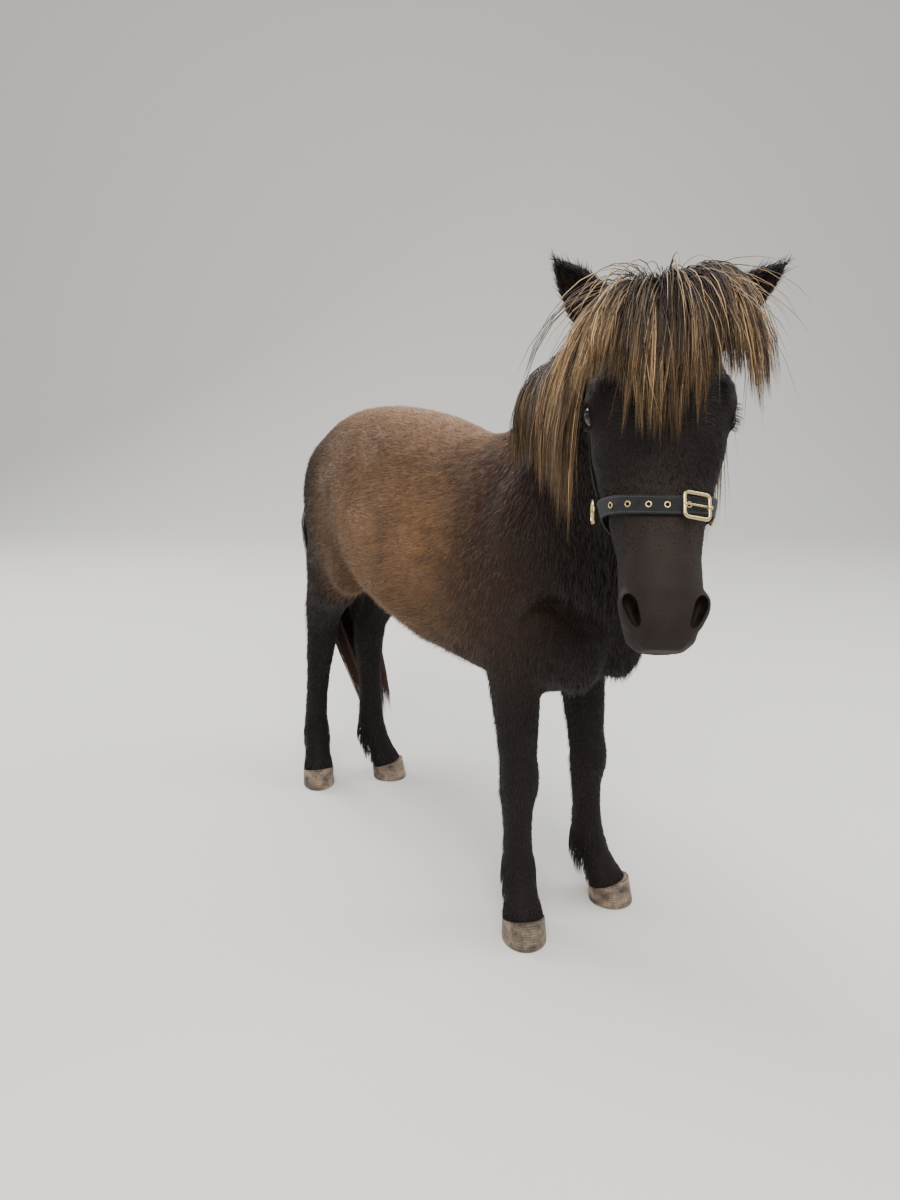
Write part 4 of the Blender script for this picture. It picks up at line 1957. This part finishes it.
class BuildSkin(PonyStep, bpy.types.Operator):
    """Shapes the skin with lids, nostrils, mouth and ears"""
    bl_idname, bl_label = "pony.skin", "Skin"

    def build(self, sizes, colours):
        WORK.clear()
        skin = build_skin(sizes)
        only(skin)
        bpy.ops.object.mode_set(mode="EDIT")
        bpy.ops.mesh.select_all(action="SELECT")
        bpy.ops.uv.smart_project(angle_limit=radians(66), island_margin=0.002)
        bpy.ops.object.mode_set(mode="OBJECT")
        skin.data.uv_layers[0].name = "OFBake"
        paint_points(skin.data, markings(points_of(skin), colours) * 0.75)
        finish(skin, materials(colours)["skin"], "torso_coat", *FLESH)


class BuildEyes(PonyStep, bpy.types.Operator):
    """Makes the eyes and their lashes"""
    bl_idname, bl_label = "pony.eyes", "Eyes"

    def build(self, sizes, colours):
        for side in (LEFT, RIGHT):
            build_eye(side, sizes, colours)
            build_lashes(side, sizes, colours)


class BuildHooves(PonyStep, bpy.types.Operator):
    """Makes the four hooves"""
    bl_idname, bl_label = "pony.hooves", "Hooves"

    def build(self, sizes, colours):
        for leg in LEGS:
            build_hoof(leg, materials(colours)["horn"])


class BuildHalter(PonyStep, bpy.types.Operator):
    """Makes the halter's webbing, eyelets, buckle and rings"""
    bl_idname, bl_label = "pony.halter", "Halter"

    def build(self, sizes, colours):
        nose, cheek, tree = halter_lines(sizes)
        web, brass = materials(colours)["web"], materials(colours)["brass"]
        for name, (points, outs), width, closed in (("noseband", nose, sizes.web_width, True),
                                                    ("headstall", cheek, sizes.strap_width, False)):
            strap = webbing(name + "_webbing", points, outs, width, sizes.web_thick, closed)
            finish(strap, web, "webbing", name)
        build_eyelets(nose[0], nose[1], sizes, brass)
        build_buckle(tree, brass)
        for side in (LEFT, RIGHT):
            build_ring(side, tree, brass)


class BuildHeadFur(PonyStep, bpy.types.Operator):
    """Covers the head and ears with short fur"""
    bl_idname, bl_label = "pony.head_fur", "Head fur"

    def build(self, sizes, colours):
        roots = hide_of().roots(head_weight(strap_zones(sizes)), sizes.head_spacing, 21)
        h = in_head(roots[0])
        jaw = smooth_step(0.0, -0.07, h[:, 2]) * smooth_step(-0.16, -0.10, h[:, 1])
        length = sizes.head_fur * (0.30 + 0.70 * smooth_step(-0.20, -0.05, h[:, 1]) + 0.8 * jaw)
        length *= 0.5 + 0.5 * smooth_step(0.021, 0.040, near_eyes(roots[0]))
        ears = on_ears(roots[0])
        length[ears] = sizes.head_fur * 0.34
        lift = np.where(ears, 1.0, 11.0)
        plant("coat_head", roots, length, 0.0010, lift, colours, 31)


class BuildNeckFur(PonyStep, bpy.types.Operator):
    """Covers the neck and chest with shaggier fur"""
    bl_idname, bl_label = "pony.neck_fur", "Neck fur"

    def build(self, sizes, colours):
        roots = hide_of().roots(neck_weight, sizes.body_spacing * 1.35, 22)
        low = smooth_step(0.74, 0.60, roots[0][:, 2])
        length = sizes.body_fur * (1.05 + 0.7 * low)
        plant("coat_neck", roots, length, 0.0019, 14, colours, 32, low * 0.5)


class BuildBarrelFur(PonyStep, bpy.types.Operator):
    """Covers the barrel and quarters with fur"""
    bl_idname, bl_label = "pony.barrel_fur", "Barrel fur"

    def build(self, sizes, colours):
        roots = hide_of().roots(barrel_weight, sizes.body_spacing, 23)
        under = smooth_step(0.1, -0.7, roots[1][:, 2]) * smooth_step(0.70, 0.52, roots[0][:, 2])
        length = sizes.body_fur * (0.95 + 0.55 * under)
        plant("coat_barrel", roots, length, 0.0013, 11 + 5 * under, colours, 33)


class BuildLegFur(PonyStep, bpy.types.Operator):
    """Covers the legs with short fur"""
    bl_idname, bl_label = "pony.leg_fur", "Leg fur"

    def build(self, sizes, colours):
        roots = hide_of().roots(leg_weight, sizes.leg_spacing, 24)
        back = smooth_step(0.2, 0.9, roots[1][:, 1])
        length = sizes.leg_fur * (0.9 + 0.7 * back) * (0.75 + 0.4 * smooth_step(0.10, 0.40, roots[0][:, 2]))
        plant("coat_legs", roots, length, 0.0012, 11 + 4 * back, colours, 34)


class BuildForelock(PonyStep, bpy.types.Operator):
    """Grows the forelock"""
    bl_idname, bl_label = "pony.forelock", "Forelock"

    def build(self, sizes, colours):
        hairs = forelock_paths(sizes, WORK["bare"], random.Random(41))
        made = strands("forelock_hair", hairs, sizes.hair_size, colours.hair_root, colours.hair_tip,
                       colours, 51)
        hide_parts("forelock")


class BuildMane(PonyStep, bpy.types.Operator):
    """Grows the mane on both sides of the neck"""
    bl_idname, bl_label = "pony.mane", "Mane"

    def build(self, sizes, colours):
        hairs = mane_paths(sizes, WORK["bare"], random.Random(42))
        strands("mane_hair", hairs, sizes.hair_size * 1.05, colours.hair_root, colours.mane_tip,
                colours, 52)


class BuildTail(PonyStep, bpy.types.Operator):
    """Grows the tail"""
    bl_idname, bl_label = "pony.tail", "Tail"

    def build(self, sizes, colours):
        hairs = tail_paths(sizes, hide_of().tree, random.Random(43))
        made = strands("tail_hair", hairs, sizes.hair_size * 1.3, colours.dark_coat, colours.tail_tip,
                       colours, 53)
        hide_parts("tail")


class BuildFeather(PonyStep, bpy.types.Operator):
    """Grows the feather behind the fetlocks"""
    bl_idname, bl_label = "pony.feather", "Feather"

    def build(self, sizes, colours):
        chance = random.Random(44)
        for leg in LEGS:
            hairs = feather_paths(leg, sizes, hide_of().tree, chance)
            strands("feather_" + leg.name, hairs, sizes.hair_size * 0.85, colours.dark_coat,
                    colours.hair_root, colours, 54)


class BuildStage(PonyStep, bpy.types.Operator):
    """Sets the floor, lights and camera"""
    bl_idname, bl_label = "pony.stage", "Stage"

    def build(self, sizes, colours):
        build_stage()


class PonyPanel(bpy.types.Panel):
    """Lists the steps that build the pony"""
    bl_idname, bl_label = "VIEW3D_PT_pony", "Shetland pony"
    bl_space_type, bl_region_type, bl_category = "VIEW_3D", "UI", "Pony"

    def draw(self, context):
        for step in STEPS:
            self.layout.operator(step.bl_idname)
        for group in (context.scene.pony_sizes, context.scene.pony_colours):
            box = self.layout.box()
            for name in group.__annotations__:
                box.prop(group, name)


STEPS = (BuildSkin, BuildEyes, BuildHooves, BuildHalter, BuildHeadFur, BuildNeckFur, BuildBarrelFur,
         BuildLegFur, BuildForelock, BuildMane, BuildTail, BuildFeather, BuildStage)
CLASSES = (PonySizes, PonyColours) + STEPS + (PonyPanel,)


def register():
    for kind in CLASSES:
        bpy.utils.register_class(kind)
    bpy.types.Scene.pony_sizes = bpy.props.PointerProperty(type=PonySizes)
    bpy.types.Scene.pony_colours = bpy.props.PointerProperty(type=PonyColours)


def unregister():
    del bpy.types.Scene.pony_colours
    del bpy.types.Scene.pony_sizes
    for kind in reversed(CLASSES):
        bpy.utils.unregister_class(kind)


def main():
    register()
    for step in STEPS:
        getattr(bpy.ops.pony, step.bl_idname.split(".")[1])()


if __name__ == "__main__":
    main()
